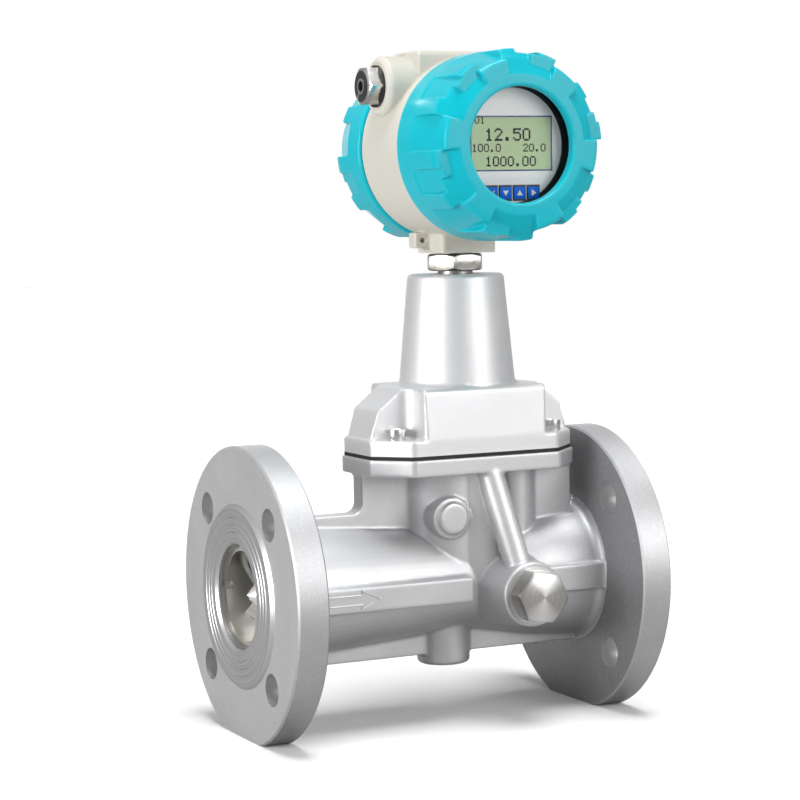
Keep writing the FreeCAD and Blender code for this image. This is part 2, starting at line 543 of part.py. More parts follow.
rear_end = "(face_to_face / 2 - clip_inset - clip_thick - clip_play)"
plate_low = "(%s + straight_start)" % seat_end
plate_end = "(%s + straight_run)" % plate_low
outlet_shell = ring("outlet_shell", "x", seat_end, rear_end, "bore_radius", "seat_radius - seat_play", middle)
core = rod("straightener_core", "core_radius", "straight_run", (plate_low, "0", "0"), "+x")
plate_count = 3
plates = []
for i in range(plate_count):
    plate = block("straightener_plate_%d" % (i + 1), (plate_low, "-straight_vane / 2", "-bore_radius - bite"),
                  (plate_end, "straight_vane / 2", "bore_radius + bite"))
    tilted = group("straightener_tilt_%d" % (i + 1), [plate])
    tilted.Placement = Placement(Vector(), Rotation(Vector(1, 0, 0), 180 / plate_count * i))
    plates.append(tilted)
node(join("flow_straightener", outlet_shell, core, *plates), "flow_straightener")

# sensors in the tower

shoulder_low = "(probe_step + probe_seal)"
shoulder_high = "(probe_step + probe_seal + probe_collar)"
node(turned("vortex_sensor", "z", [
    ("probe_tip_height", "0"), ("probe_tip_height", "probe_tip"), ("throat_radius + probe_neck", "probe_tip"),
    ("throat_radius + probe_neck", "probe_radius"), (shoulder_low, "probe_radius"),
    (shoulder_low, "probe_shoulder"), (shoulder_high, "probe_shoulder"), (shoulder_high, "probe_stem"),
    ("probe_top", "probe_stem"), ("probe_top", "0")], ("column_x", "0", "0")), "vortex_sensor")
node(ring("vortex_sensor_seal", "z", "probe_step", shoulder_low, "probe_radius + probe_play / 2",
          "probe_shoulder", ("column_x", "0", "0")), "vortex_sensor_seal")
gland_head = place(hex_head("sensor_gland_head", "gland_across", "gland_high", "plug_dome"),
                   ("column_x", "0", "joint_height"))
gland_body = rod("sensor_gland_body", "probe_shoulder", "joint_height - %s + bite" % shoulder_high,
                 ("column_x", "0", shoulder_high))
gland_way = rod("sensor_gland_way", "probe_stem + probe_stem_play", "joint_height",
                ("column_x", "0", shoulder_high + " - overrun"))
node(carve("sensor_gland", join("sensor_gland_blank", gland_head, gland_body), gland_way), "sensor_gland")
warm_head = place(hex_head("warm_head_hex", "warm_head", "warm_high", "plug_dome / 2"),
                  ("warm_x", "0", "joint_height"))
warm_stem = rod("warm_stem", "warm_radius", "joint_height - warm_tip + bite", ("warm_x", "0", "warm_tip"))
warm_lead = rod("warm_lead_out", "warm_radius", "warm_lead + bite",
                ("warm_x", "0", "joint_height + warm_high - bite"))
node(join("temperature_probe", warm_head, warm_stem, warm_lead), "temperature_probe")
force_head = place(hex_head("force_head_hex", "force_across", "force_hex", "plug_dome"),
                   ("force_x", "-force_y", "joint_height"))
force_stem = rod("force_stem", "force_thread", "force_depth - force_gap + bite",
                 ("force_x", "-force_y", force_low))
force_can = rod("force_can_body", "force_can", "force_high + bite",
                ("force_x", "-force_y", "joint_height + force_hex - bite"))
node(join("pressure_sensor", force_head, force_stem, force_can), "pressure_sensor")

# gasket, bonnet and its screws

bonnet_low = "(joint_height + gasket_thick)"
bonnet_plan = octagon("neck_x", "bonnet_length", "bonnet_width", "bonnet_corner", "corner_round")
sheet_out = extruded("gasket_sheet", "XY_Plane", bonnet_plan, "gasket_thick", lift="joint_height", both=False)
sheet_in = block("gasket_window", ("neck_x - chamber_x", "-chamber_y", "joint_height - overrun"),
                 ("neck_x + chamber_x", "chamber_y", bonnet_low + " + overrun"))
sheet_side = block("gasket_side_window",
                   ("neck_x - side_chamber_x", "-side_chamber_y", "joint_height - overrun"),
                   ("neck_x + side_chamber_x", "side_chamber_y", bonnet_low + " + overrun"))
sheet_holes = [rod("gasket_hole_%d" % i, "screw_radius + screw_play", "gasket_thick + 2 * overrun",
                   (x, y, "joint_height - overrun")) for i, (x, y) in enumerate(screw_places, 1)]
node(carve("bonnet_gasket", sheet_out, sheet_in, sheet_side, *sheet_holes), "bonnet_gasket")

band = extruded("bonnet_band", "XY_Plane", bonnet_plan, "band_thick", lift=bonnet_low, both=False)
# the block above the ledge: a cross in plan, with a sloping roof seen from the front and drafted ends
block_low = "ledge_height - bite"
cross = extruded("bonnet_cross", "XY_Plane", [
    ("-side_foot", "-pocket_half", "side_round"), ("-front_half", "-pocket_half", "pocket_round"),
    ("-front_half", "-front_foot", "side_round"), ("front_half", "-front_foot", "side_round"),
    ("front_half", "-pocket_half", "pocket_round"), ("side_foot", "-pocket_half", "side_round"),
    ("side_foot", "pocket_half", "side_round"), ("front_half", "pocket_half", "pocket_round"),
    ("front_half", "front_foot", "side_round"), ("-front_half", "front_foot", "side_round"),
    ("-front_half", "pocket_half", "pocket_round"), ("-side_foot", "pocket_half", "side_round")],
    "plateau_height - ledge_height + 2 * bite", ("neck_x", "0", "0"), block_low, False)
roof = extruded("bonnet_roof", "XZ_Plane", [
    ("-side_foot", block_low), ("side_foot", block_low), ("side_foot", "ledge_height"),
    ("roof_foot", "roof_foot_height", "plateau_round"), ("plateau_half", "plateau_height", "plateau_round"),
    ("-plateau_half", "plateau_height", "plateau_round"), ("-roof_foot", "roof_foot_height", "plateau_round"),
    ("-side_foot", "ledge_height")], "pad_width", ("neck_x", "0", "0"))
breast = extruded("bonnet_breast", "YZ_Plane", [
    ("-front_foot", block_low), ("front_foot", block_low), ("front_foot", "ledge_height"),
    ("front_top", "plateau_height", "plateau_round"), ("-front_top", "plateau_height", "plateau_round"),
    ("-front_foot", "ledge_height")], "pad_length", ("neck_x", "0", "0"))
shoulders = overlap("bonnet_shoulders", overlap("bonnet_gable", cross, roof), breast)
neck = turned("bonnet_neck", "z", [
    ("plateau_height - plateau_round", "0"), ("plateau_height - plateau_round", "neck_base"),
    ("neck_height", "neck_top", "neck_edge"), ("neck_height", "0")], ("neck_x", "0", "0"))
flare_top = "plateau_height + 2 * neck_fillet"
flare = turned("bonnet_flare", "z", [
    ("plateau_height - bite", "neck_base - neck_fillet"),
    ("plateau_height - bite", "neck_base + 2 * neck_fillet"),
    ("plateau_height", "neck_base + 2 * neck_fillet"),
    ("plateau_height", "neck_base - neck_slope * plateau_round", "neck_fillet"),
    (flare_top, "neck_base - neck_slope * (plateau_round + 2 * neck_fillet) - flare_sunk"),
    (flare_top, "neck_base - neck_fillet")], ("neck_x", "0", "0"))
flare_limit = block("bonnet_flare_limit",
                    ("neck_x - plateau_half", "-front_top + plateau_round", "plateau_height - 2 * overrun"),
                    ("neck_x + plateau_half", "front_top - plateau_round", flare_top + " + overrun"))
flare_kept = overlap("bonnet_flare_kept", flare, flare_limit)
chamber = block("bonnet_chamber", ("neck_x - chamber_x", "-chamber_y", bonnet_low + " - overrun"),
                ("neck_x + chamber_x", "chamber_y", "chamber_height"))
side_chamber = block("bonnet_side_chamber",
                     ("neck_x - side_chamber_x", "-side_chamber_y", bonnet_low + " - overrun"),
                     ("neck_x + side_chamber_x", "side_chamber_y", "side_chamber_height"))
neck_way = rod("bonnet_neck_way", "neck_top - neck_wall", "neck_height - neck_lid - chamber_height + overrun",
               ("neck_x", "0", "chamber_height - overrun"))
nipple_way = rod("bonnet_nipple_way", "nipple_radius + nipple_play", "neck_lid + 2 * overrun",
                 ("neck_x", "0", "neck_height - neck_lid - overrun"))
bonnet_holes = [rod("bonnet_hole_%d" % i, "screw_radius + screw_play", "band_thick + 2 * overrun",
                    (x, y, bonnet_low + " - overrun")) for i, (x, y) in enumerate(screw_places, 1)]
bonnet_blank = join("bonnet_blank", band, shoulders, join("bonnet_cone", neck, flare_kept))
node(carve("bonnet", bonnet_blank, chamber, side_chamber, neck_way, nipple_way, *bonnet_holes), "bonnet")

cap_screws = []
for i, (x, y) in enumerate(screw_places, 1):
    name = "cap_screw_%d" % i
    head = rod(name + "_head", "screw_head", "screw_head_height", (x, y, "ledge_height"))
    shank = rod(name + "_shank", "screw_radius", "screw_length + bite", (x, y, "ledge_height - screw_length"))
    socket = hexagon(name + "_socket", "2 * screw_socket", "screw_head_height / 2 + overrun",
                     (x, y, "ledge_height + screw_head_height / 2"))
    cap_screws.append(carve(name, join(name + "_blank", head, shank), socket))
node(group("bonnet_screws", cap_screws), "bonnet_screws")

# plug and washer of the pressure tap

plug_face = "-tap_reach - washer_thick"
plug_hex = hex_head("plug_head", "plug_across", "plug_high", "plug_dome")
plug_hex.Placement = Placement(Vector(), Rotation(Vector(0, 0, 1), value("plug_turn")))
plug_stem = rod("plug_stem", "tap_thread", "plug_length + bite", ("0", "0", "bite"), "-z")
node(place(join("pressure_tap_plug", plug_hex, plug_stem), ("tap_x", plug_face, "-tap_low"), ways["-y"]),
     "pressure_tap_plug")
node(ring("plug_washer", "y", plug_face, "-tap_reach", "tap_thread", "washer_radius",
          ("tap_x", "0", "-tap_low")), "plug_washer")

# nipple and lock nut under the head

node(ring("neck_nipple", "z", "nipple_low", "nipple_high", "nipple_bore", "nipple_radius",
          ("neck_x", "0", "0")), "neck_nipple")
nut_blank = hex_head("lock_nut_blank", "nut_across", "nut_high", "nut_dome", "nut_dome")
nut_way = rod("lock_nut_way", "nipple_radius + nipple_play", "nut_high + 2 * overrun", ("0", "0", "-overrun"))
node(place(carve("lock_nut", nut_blank, nut_way), ("neck_x", "0", "nut_low")), "lock_nut")

# electronics housing

head_at = ("neck_x", "0", "head_z")
drum = turned("housing_drum", "y", [
    ("-thread_front", "0"), ("-thread_front", "thread_radius - housing_edge"),
    ("-thread_front + housing_edge", "thread_radius"), ("-housing_front", "thread_radius"),
    ("-housing_front", "housing_radius - housing_edge"), ("-housing_front + housing_edge", "housing_radius"),
    ("housing_rear - housing_edge", "housing_radius"), ("housing_rear", "housing_radius - housing_edge"),
    ("housing_rear", "0")], head_at)
collar_inner = "thread_radius - rear_collar_wall"
node(turned("rear_collar", "y", [
    ("housing_rear", collar_inner), ("housing_rear", "thread_radius"),
    ("thread_rear - housing_edge", "thread_radius"), ("thread_rear", "thread_radius - housing_edge"),
    ("thread_rear", collar_inner)], head_at), "rear_collar")
foot_block = block("housing_foot_block", ("neck_x - foot_half_x", "-foot_front", "foot_low"),
                   ("neck_x + foot_half_x", "foot_back", "head_z - cavity_radius"))
foot = rounded("housing_foot_blank", foot_block, "foot_edge", Vector(0, 0, 1))
lug = block("sealing_lug_block", ("neck_x - foot_half_x - lug_length", "-lug_front", "lug_low"),
            ("neck_x - foot_half_x", "lug_back", "lug_high"))
crown_block = block("housing_crown_block", ("neck_x - crown_half", "-crown_front", "entry_z - entry_boss"),
                    ("neck_x + crown_half", "crown_back", "crown_top"))
crown = rounded("housing_crown", crown_block, "crown_edge", Vector(1, 0, 0))
entry = turned("housing_entry", "x", [
    ("-entry_reach", "0"), ("-entry_reach", "entry_boss - entry_edge"),
    ("-entry_reach + entry_edge", "entry_boss"), ("entry_reach - entry_edge", "entry_boss"),
    ("entry_reach", "entry_boss - entry_edge"), ("entry_reach", "0")],
    ("neck_x", "-entry_y", "entry_z"))
front_cavity = rod("housing_front_cavity", "cavity_radius", "thread_front - partition_front + overrun",
                   ("neck_x", "-thread_front - overrun", "head_z"), "+y")
rear_cavity = rod("housing_rear_cavity", "cavity_radius", "housing_rear + partition_rear + overrun",
                  ("neck_x", "-partition_rear", "head_z"), "+y")
wire_way = rod("housing_wire_way", "wire_hole", "partition_front",
               ("neck_x", "-partition_front - overrun", "head_z + wire_rise"), "+y")
foot_way = rod("housing_foot_way", "nipple_radius + nipple_play",
               "head_z - cavity_radius - foot_low + 2 * overrun", ("neck_x", "0", "foot_low - overrun"))
lug_middle = ("neck_x - foot_half_x - lug_length / 2", "-lug_front - overrun", "(lug_low + lug_high) / 2")
lug_way = rod("sealing_lug_way", "lug_hole", "lug_front + lug_back + 2 * overrun", lug_middle, "+y")
entry_way = rod("housing_entry_way", "entry_bore", "2 * entry_reach + 2 * overrun",
                ("neck_x - entry_reach - overrun", "-entry_y", "entry_z"), "+x")
housing_blank = join("housing_blank", drum, crown, entry)
node(carve("electronics_housing", housing_blank, front_cavity, rear_cavity, wire_way, foot_way, entry_way),
     "electronics_housing")
node(carve("housing_foot", foot, drum, foot_way), "housing_foot")
node(carve("sealing_lug", lug, drum, lug_way), "sealing_lug")

# cable entries

entry_left = "neck_x - entry_reach"
entry_right = "neck_x + entry_reach"
entry_at = ("0", "-entry_y", "entry_z")
stem_length = "gland_length + entry_seal + bite"
gland_nut = hex_head("gland_nut", "gland_hex", "gland_hex_high", "plug_dome")
gland_nut.Placement = Placement(Vector(), Rotation(Vector(0, 0, 1), value("gland_turn")))
gland_stem = rod("gland_stem", "gland_thread", stem_length, ("0", "0", "bite"), "-z")
gland_bore = rod("gland_bore", "gland_hole", "gland_hex_high + gland_length + entry_seal + 2 * overrun",
                 ("0", "0", "-gland_length - entry_seal - overrun"))
node(place(carve("cable_gland", join("gland_blank", gland_nut, gland_stem), gland_bore),
           (entry_left + " - entry_seal", "-entry_y", "entry_z"), ways["-x"]), "cable_gland")
node(ring("gland_seal", "x", entry_left + " - entry_seal", entry_left, "gland_thread", "entry_seal_radius",
          entry_at), "gland_seal")
stopper_head = hex_head("stopper_head", "gland_hex", "stopper_high", "plug_dome")
stopper_stem = rod("stopper_stem", "gland_thread", stem_length, ("0", "0", "bite"), "-z")
node(place(join("entry_plug", stopper_head, stopper_stem),
           (entry_right + " + entry_seal", "-entry_y", "entry_z"), ways["+x"]), "entry_plug")
node(ring("entry_plug_seal", "x", entry_right, entry_right + " + entry_seal", "gland_thread",
          "entry_seal_radius", entry_at), "entry_plug_seal")

# screwed covers with grip arms


def grip(body, side, reach, taper):
    # side is the sign of the cover's outward direction along Y
    outer = "(cover_radius + overrun)"
    beyond = "%s(%s + overrun)" % (side, reach)
    bevel_foot = "%s(%s - recess_drop)" % (side, reach)
    lug_front = "%s(%s - lug_front_drop)" % (side, reach)
    slope = "recess_drop * (side_inner - ring_radius) / (%s - ring_radius)" % outer
    features = [
        sector(body, "Groove", body.Name + "_bevel", [
            (beyond, "ring_radius"), (side + reach, "ring_radius"), (bevel_foot, outer), (beyond, outer)],
            "recess_angle", 0),
        sector(body, "Revolution", body.Name + "_side", [
            (side + taper, "slot_radius - side_root"), (side + taper, "cover_radius"),
            (bevel_foot, "cover_radius"),
            ("%s(%s - %s)" % (side, reach, slope), "side_inner")], "recess_angle", 0),
        sector(body, "Revolution", body.Name + "_lug", [
            (lug_front, "lug_inner"), (lug_front, "cover_radius - cover_edge"), (bevel_foot, "cover_radius"),
            (bevel_foot, "side_inner")], "lug_angle", value("lug_turn")),
        sector(body, "Groove", body.Name + "_slot", [
            (side + taper, "cover_radius - slot_start"), (side + taper, outer), (beyond, outer),
            (beyond, "slot_radius")], "slot_angle", 0)]
    doc.recompute()
    ring_of = body.newObject("PartDesign::PolarPattern", body.Name + "_grips")
    ring_of.Originals = features
    ring_of.Axis = (features[0].Profile[0], ["V_Axis"])
    tie(ring_of, "Occurrences", "grip_count")
    body.Tip = ring_of
    place(body, head_at, Rotation(Vector(0, 1, 0), -value("grip_turn")))
    return body


thread_bore = "thread_radius + thread_play"
seal_outer = "thread_radius + seal_play + seal_deep"


def seal_groove(side, start):
    low, high = "%s(%s - seal_play)" % (side, start), "%s(%s + seal_wide + seal_play)" % (side, start)
    floor = seal_outer + " + seal_play"
    return [(high, thread_bore), (high, floor), (low, floor), (low, thread_bore)]


front_rim = "-housing_front - rim_gap"
pane_seat = "(-front_reach + lip_depth)"
front = turned("front_cover", "y", [
    (front_rim, thread_bore), (front_rim, "cover_radius - cover_edge"),
    (front_rim + " - cover_edge", "cover_radius"), ("-taper_start", "cover_radius"),
    ("-front_reach + cover_edge", "arm_radius"),
    ("-front_reach", "arm_radius - cover_edge"), ("-front_reach", "lip_radius + lip_edge"),
    ("-front_reach + lip_edge", "lip_radius"), (pane_seat, "lip_radius"),
    (pane_seat, "glass_radius + glass_play"), ("-seat_back", "glass_radius + glass_play"),
    ("-seat_back", thread_bore)]
    + seal_groove("-", "housing_front + seal_y"))
node(grip(front, "-", "front_reach", "taper_start"), "front_cover")
rear_rim = "housing_rear + rim_gap"
rear = turned("rear_cover", "y", [
    (rear_rim, thread_bore), (rear_rim, "cover_radius - cover_edge"),
    (rear_rim + " + cover_edge", "cover_radius"), ("rear_taper_start", "cover_radius"),
    ("rear_reach - cover_edge", "arm_radius"),
    ("rear_reach", "arm_radius - cover_edge"), ("rear_reach", "0"), ("rear_reach - rear_lid", "0"),
    ("rear_reach - rear_lid", thread_bore)] + seal_groove("", "housing_rear + seal_y"))
node(grip(rear, "", "rear_reach", "rear_taper_start"), "rear_cover")


def cover_seal(name, side, start):
    # lies at the mouth of the cover's thread, on the housing's collar
    low, high = "%s(%s)" % (side, start), "%s(%s + seal_wide)" % (side, start)
    return node(ring(name, "y", low, high, "thread_radius + seal_play", seal_outer, head_at), name)


# window pack

pane_front = "(%s + gasket_wide)" % pane_seat
pane_back = "(%s + pane_thick)" % pane_front
node(ring("window_gasket", "y", pane_seat, pane_front, "lip_radius + gasket_inset", "glass_radius", head_at),
     "window_gasket")
node(rod("window_glass", "glass_radius", "pane_thick", ("neck_x", pane_front, "head_z"), "+y"),
     "window_glass")
node(ring("window_retainer", "y", pane_back, pane_back + " + retainer_thick", "retainer_inner",
          "glass_radius", head_at), "window_retainer")
cover_seal("front_cover_seal", "-", "housing_front + seal_y")
cover_seal("rear_cover_seal", "", "housing_rear + seal_y")

# display stack

post_count = 4


def posts(name, start, length, circle, turn):
    made = []
    for i in range(post_count):
        angle = "%s + %d * 360 / %d" % (turn, i, post_count)
        at = ("neck_x + %s * cos(%s)" % (circle, angle), start, "head_z + %s * sin(%s)" % (circle, angle))
        made.append(rod("%s_%d" % (name, i + 1), "standoff_radius", length, at, "+y"))
    return node(group(name, made), name)


node(rod("main_board", "board_radius", "board_thick", ("neck_x", "-main_board_y", "head_z"), "+y"),
     "main_board")
posts("main_board_standoffs", "-main_board_y + board_thick", "main_board_y - board_thick - partition_front",
      "standoff_circle", "post_turn")
posts("display_standoffs", "-display_board_y + board_thick", "display_board_y - board_thick - main_board_y",
      "standoff_circle", "post_turn")
key_names = ("key_enter", "key_down", "key_up", "key_right")
key_places = ["neck_x + (%d - %d / 2) * key_pitch" % (i, len(key_names) - 1) for i in range(len(key_names))]
key_z = "head_z - key_drop"
switches = [block("switch_%d" % i,
                  (x + " - switch_half", "-display_board_y - switch_high", key_z + " - switch_half"),
                  (x + " + switch_half", "-display_board_y + board_thick / 2", key_z + " + switch_half"))
            for i, x in enumerate(key_places, 1)]
board_disc = rod("display_board_disc", "carrier_radius", "board_thick",
                 ("neck_x", "-display_board_y", "head_z"), "+y")
node(join("display_board", board_disc, *switches), "display_board")
node(ring("display_carrier", "y", "-carrier_front", "-display_board_y", "carrier_radius - carrier_wall",
          "carrier_radius", head_at), "display_carrier")
plate_front = "(-carrier_front - plate_thick)"
plate_out = plate_front + " - overrun"
plate_in = "-carrier_front + overrun"
lcd_z = "head_z + lcd_rise"
plate = rod("faceplate_disc", "carrier_radius", "plate_thick", ("neck_x", plate_front, "head_z"), "+y")
lcd_hole = block("faceplate_window", ("neck_x - lcd_half_x", plate_out, lcd_z + " - lcd_half_z"),
                 ("neck_x + lcd_half_x", plate_in, lcd_z + " + lcd_half_z"))
key_holes = [block("faceplate_key_%d" % i,
                   (x + " - key_half_x - key_play", plate_out, key_z + " - key_half_z - key_play"),
                   (x + " + key_half_x + key_play", plate_in, key_z + " + key_half_z + key_play"))
             for i, x in enumerate(key_places, 1)]
node(carve("display_faceplate", plate, lcd_hole, *key_holes), "display_faceplate")
node(block("display_module",
           ("neck_x - lcd_half_x - lcd_frame", "-carrier_front", lcd_z + " - lcd_half_z - lcd_frame"),
           ("neck_x + lcd_half_x + lcd_frame", "-display_board_y", lcd_z + " + lcd_half_z + lcd_frame")),
     "display_module")
lip_front = "-carrier_front + key_gap"
stem_reach = "carrier_front - key_gap - display_board_y - switch_high - key_stem_gap"
for name, x in zip(key_names, key_places):
    cap = block(name + "_cap", (x + " - key_half_x", plate_front + " - key_proud", key_z + " - key_half_z"),
                (x + " + key_half_x", lip_front + " + bite", key_z + " + key_half_z"))
    lip = block(name + "_lip",
                (x + " - key_half_x - key_flange_x", lip_front, key_z + " - key_half_z - key_flange_z"),
                (x + " + key_half_x + key_flange_x", lip_front + " + key_flange_thick",
                 key_z + " + key_half_z + key_flange_z"))
    stem = rod(name + "_stem", "key_stem", stem_reach, (x, lip_front, key_z), "+y")
    node(join(name, cap, lip, stem), name)

# power and terminals in the rear chamber

cell_z = "head_z - cell_drop"
cell = rod("battery_cell", "cell_radius", "2 * cell_half", ("neck_x - cell_half", "-cell_y", cell_z), "+x")
cell_cap = rod("battery_cap", "cell_cap", "cell_cap_high + bite",
               ("neck_x + cell_half - bite", "-cell_y", cell_z), "+x")
node(join("battery", cell, cell_cap), "battery")
cradle = block("holder_cradle",
               ("neck_x - holder_half", "-partition_rear", cell_z + " - cell_radius - holder_wall"),
               ("neck_x + holder_half", "-cell_y + holder_over", cell_z + " + cell_radius + holder_wall"))
cradle_way = rod("holder_way", "cell_radius + seat_play", "2 * cell_half + 2 * cell_cap_high",
                 ("neck_x - cell_half - cell_cap_high / 2", "-cell_y", cell_z), "+x")
node(carve("battery_holder", cradle, cradle_way), "battery_holder")
posts("terminal_standoffs", "-partition_rear", "partition_rear + terminal_y", "terminal_post", "0")
node(rod("terminal_board", "board_radius", "board_thick", ("neck_x", "terminal_y", "head_z"), "+y"),
     "terminal_board")
strip_face = "(terminal_y + board_thick + terminal_deep)"
strip = block("terminal_strip",
              ("neck_x - terminal_half_x", "terminal_y + board_thick", "head_z - terminal_half_z"),
              ("neck_x + terminal_half_x", strip_face, "head_z + terminal_half_z"))
terminal_count = 6
wells, heads = [], []
for i in range(terminal_count):
    name = "terminal_screw_%d" % (i + 1)
    x = "neck_x + (%d - %d / 2) * terminal_pitch" % (i, terminal_count - 1)
    well_at = (x, strip_face + " - terminal_deep / 2", "head_z")
    well = rod(name + "_well", "terminal_screw + seat_play", "terminal_deep / 2 + overrun", well_at, "+y")
    wells.append(well)
    screw = rod(name + "_body", "terminal_screw", "terminal_deep / 2 - terminal_sunk", well_at, "+y")
    slot_floor = strip_face + " - terminal_sunk - terminal_slot_deep"
    slot = block(name + "_slot", (x + " - terminal_screw - overrun", slot_floor,
                                  "head_z - terminal_slot_half"),
                 (x + " + terminal_screw + overrun", strip_face, "head_z + terminal_slot_half"))
    heads.append(carve(name, screw, slot))
node(carve("terminal_block", strip, *wells), "terminal_block")
node(group("terminal_screws", heads), "terminal_screws")

doc.recompute()
for item in doc.Objects:
    if "Invalid" in item.State or "Error" in item.State:
        raise RuntimeError("%s: %s" % (item.Name, item.getStatusString()))
for item in nodes:
    if item.Shape.isNull() or not item.Shape.isValid():
        raise RuntimeError(item.Label + " has no sound shape")
    item.Shape.exportStep("parts/%s.step" % item.Label)
print("pieces written:", len(nodes))
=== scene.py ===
import bmesh
import bpy
import math
from mathutils import Matrix, Vector


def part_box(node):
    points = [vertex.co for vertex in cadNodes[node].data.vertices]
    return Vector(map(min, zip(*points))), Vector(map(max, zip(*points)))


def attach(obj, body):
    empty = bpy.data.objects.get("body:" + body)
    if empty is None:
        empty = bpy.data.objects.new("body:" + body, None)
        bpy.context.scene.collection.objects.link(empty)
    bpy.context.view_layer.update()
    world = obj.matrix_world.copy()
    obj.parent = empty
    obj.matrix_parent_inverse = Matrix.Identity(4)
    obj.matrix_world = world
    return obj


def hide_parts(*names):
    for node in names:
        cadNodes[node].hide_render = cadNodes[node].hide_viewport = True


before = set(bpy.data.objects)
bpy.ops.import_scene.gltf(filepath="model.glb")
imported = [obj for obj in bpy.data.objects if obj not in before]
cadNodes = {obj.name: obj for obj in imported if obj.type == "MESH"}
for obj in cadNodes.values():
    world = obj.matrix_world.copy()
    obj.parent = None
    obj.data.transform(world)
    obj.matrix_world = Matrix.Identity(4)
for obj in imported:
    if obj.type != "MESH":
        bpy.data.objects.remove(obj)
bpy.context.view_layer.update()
scene = bpy.context.scene
mm = 0.001
alongX, alongY, alongZ = (1.0, 0.0, 0.0), (0.0, 1.0, 0.0), (0.0, 0.0, 1.0)
print("frame loaded:", len(cadNodes), "nodes")


# shader helpers

def addNode(tree, kind, values=None, **props):
    node = tree.nodes.new(kind)
    for name, value in props.items():
        setattr(node, name, value)
    for socket, value in (values or {}).items():
        if isinstance(value, bpy.types.NodeSocket):
            tree.links.new(value, node.inputs[socket])
        else:
            node.inputs[socket].default_value = value
    return node


def newGroup(name, given, made):
    group = bpy.data.node_groups.new(name, "ShaderNodeTree")
    for label, kind, value in given:
        socket = group.interface.new_socket(label, in_out="INPUT", socket_type="NodeSocket" + kind)
        socket.default_value = value
    for label, kind in made:
        group.interface.new_socket(label, in_out="OUTPUT", socket_type="NodeSocket" + kind)
    return group, group.nodes.new("NodeGroupInput").outputs, group.nodes.new("NodeGroupOutput").inputs


def ramp(tree, value, low, high, toLow=0.0, toHigh=1.0):
    return addNode(tree, "ShaderNodeMapRange", {"Value": value, "From Min": low, "From Max": high,
                                                "To Min": toLow, "To Max": toHigh}).outputs["Result"]


noiseLow, noiseHigh = 0.3, 0.7  # most of a noise texture's values lie between these


def spread(tree, value, toLow=0.0, toHigh=1.0):
    return ramp(tree, value, noiseLow, noiseHigh, toLow, toHigh)


def weaken(tree, mask, most):
    return ramp(tree, mask, 0.0, 1.0, 0.0, most)


def blendColour(tree, factor, first, second):
    node = addNode(tree, "ShaderNodeMix", data_type="RGBA")
    # the Mix node's colour sockets are 6, 7 and output 2
    for socket, value in ((0, factor), (6, first), (7, second)):
        if isinstance(value, bpy.types.NodeSocket):
            tree.links.new(value, node.inputs[socket])
        else:
            node.inputs[socket].default_value = value
    return node.outputs[2]


def rgb(red, green, blue):
    return (red, green, blue, 1.0)


def darker(colour, factor):
    return tuple(factor * c for c in colour[:3]) + (1.0,)


# grit left by shot blasting: a fine height, broad cloudy tone and single bright flecks painted as the glints
# of the grit
def buildBlastGrain():
    group, given, made = newGroup("blastGrain", [("Grain", "Float", 1500.0), ("Cloud", "Float", 30.0)],
                                  [("Height", "Float"), ("Tone", "Float"), ("Fleck", "Float")])
    place = addNode(group, "ShaderNodeTexCoord").outputs["Object"]
    grit = addNode(group, "ShaderNodeTexNoise", {"Vector": place, "Scale": given["Grain"], "Detail": 3.0})
    cloud = addNode(group, "ShaderNodeTexNoise", {"Vector": place, "Scale": given["Cloud"], "Detail": 4.0})
    cells = addNode(group, "ShaderNodeTexVoronoi", {"Vector": place, "Scale": given["Grain"]})
    lone = addNode(group, "ShaderNodeSeparateColor", {"Color": cells.outputs["Color"]})
    plainCells = 0.8  # share of the grains without a fleck
    group.links.new(grit.outputs["Fac"], made["Height"])
    group.links.new(cloud.outputs["Fac"], made["Tone"])
    group.links.new(ramp(group, lone.outputs["Red"], plainCells, 1.0), made["Fleck"])
    return group


# rings left by a lathe about a line through Centre along Axis, and a painted sheen of two bright fans across
# them along Fan
def buildLatheRings():
    asked = [("Centre", "Vector", (0, 0, 0)), ("Axis", "Vector", (0, 0, 1)), ("Pitch", "Float", 0.0004),
             ("Fan", "Vector", (0, 0, 1))]
    group, given, made = newGroup("latheRings", asked,
                                  [("Height", "Float"), ("Streak", "Float"), ("Sheen", "Float")])
    place = addNode(group, "ShaderNodeTexCoord").outputs["Object"]
    arm = addNode(group, "ShaderNodeVectorMath", {0: place, 1: given["Centre"]}, operation="SUBTRACT")
    lever = addNode(group, "ShaderNodeVectorMath", {0: arm.outputs[0], 1: given["Axis"]},
                    operation="CROSS_PRODUCT")
    radius = addNode(group, "ShaderNodeVectorMath", {0: lever.outputs[0]}, operation="LENGTH")
    turns = addNode(group, "ShaderNodeMath", {0: radius.outputs["Value"], 1: given["Pitch"]},
                    operation="DIVIDE")
    angle = addNode(group, "ShaderNodeMath", {0: turns.outputs[0], 1: 2 * math.pi}, operation="MULTIPLY")
    wave = addNode(group, "ShaderNodeMath", {0: angle.outputs[0]}, operation="SINE")
    perTurn = 0.35  # streaks to one turn of the tool
    chatter = addNode(group, "ShaderNodeTexNoise", {"W": turns.outputs[0], "Scale": perTurn, "Detail": 3.0},
                      noise_dimensions="1D")
    along = addNode(group, "ShaderNodeVectorMath", {0: arm.outputs[0], 1: given["Fan"]},
                    operation="DOT_PRODUCT")
    share = addNode(group, "ShaderNodeMath", {0: along.outputs["Value"], 1: radius.outputs["Value"]},
                    operation="DIVIDE")
    fan = addNode(group, "ShaderNodeMath", {0: share.outputs[0], 1: share.outputs[0]}, operation="MULTIPLY")
    fanEdge = 0.25
    group.links.new(ramp(group, wave.outputs[0], -1.0, 1.0), made["Height"])
    group.links.new(chatter.outputs["Fac"], made["Streak"])
    group.links.new(ramp(group, fan.outputs[0], fanEdge, 1.0), made["Sheen"])
    return group


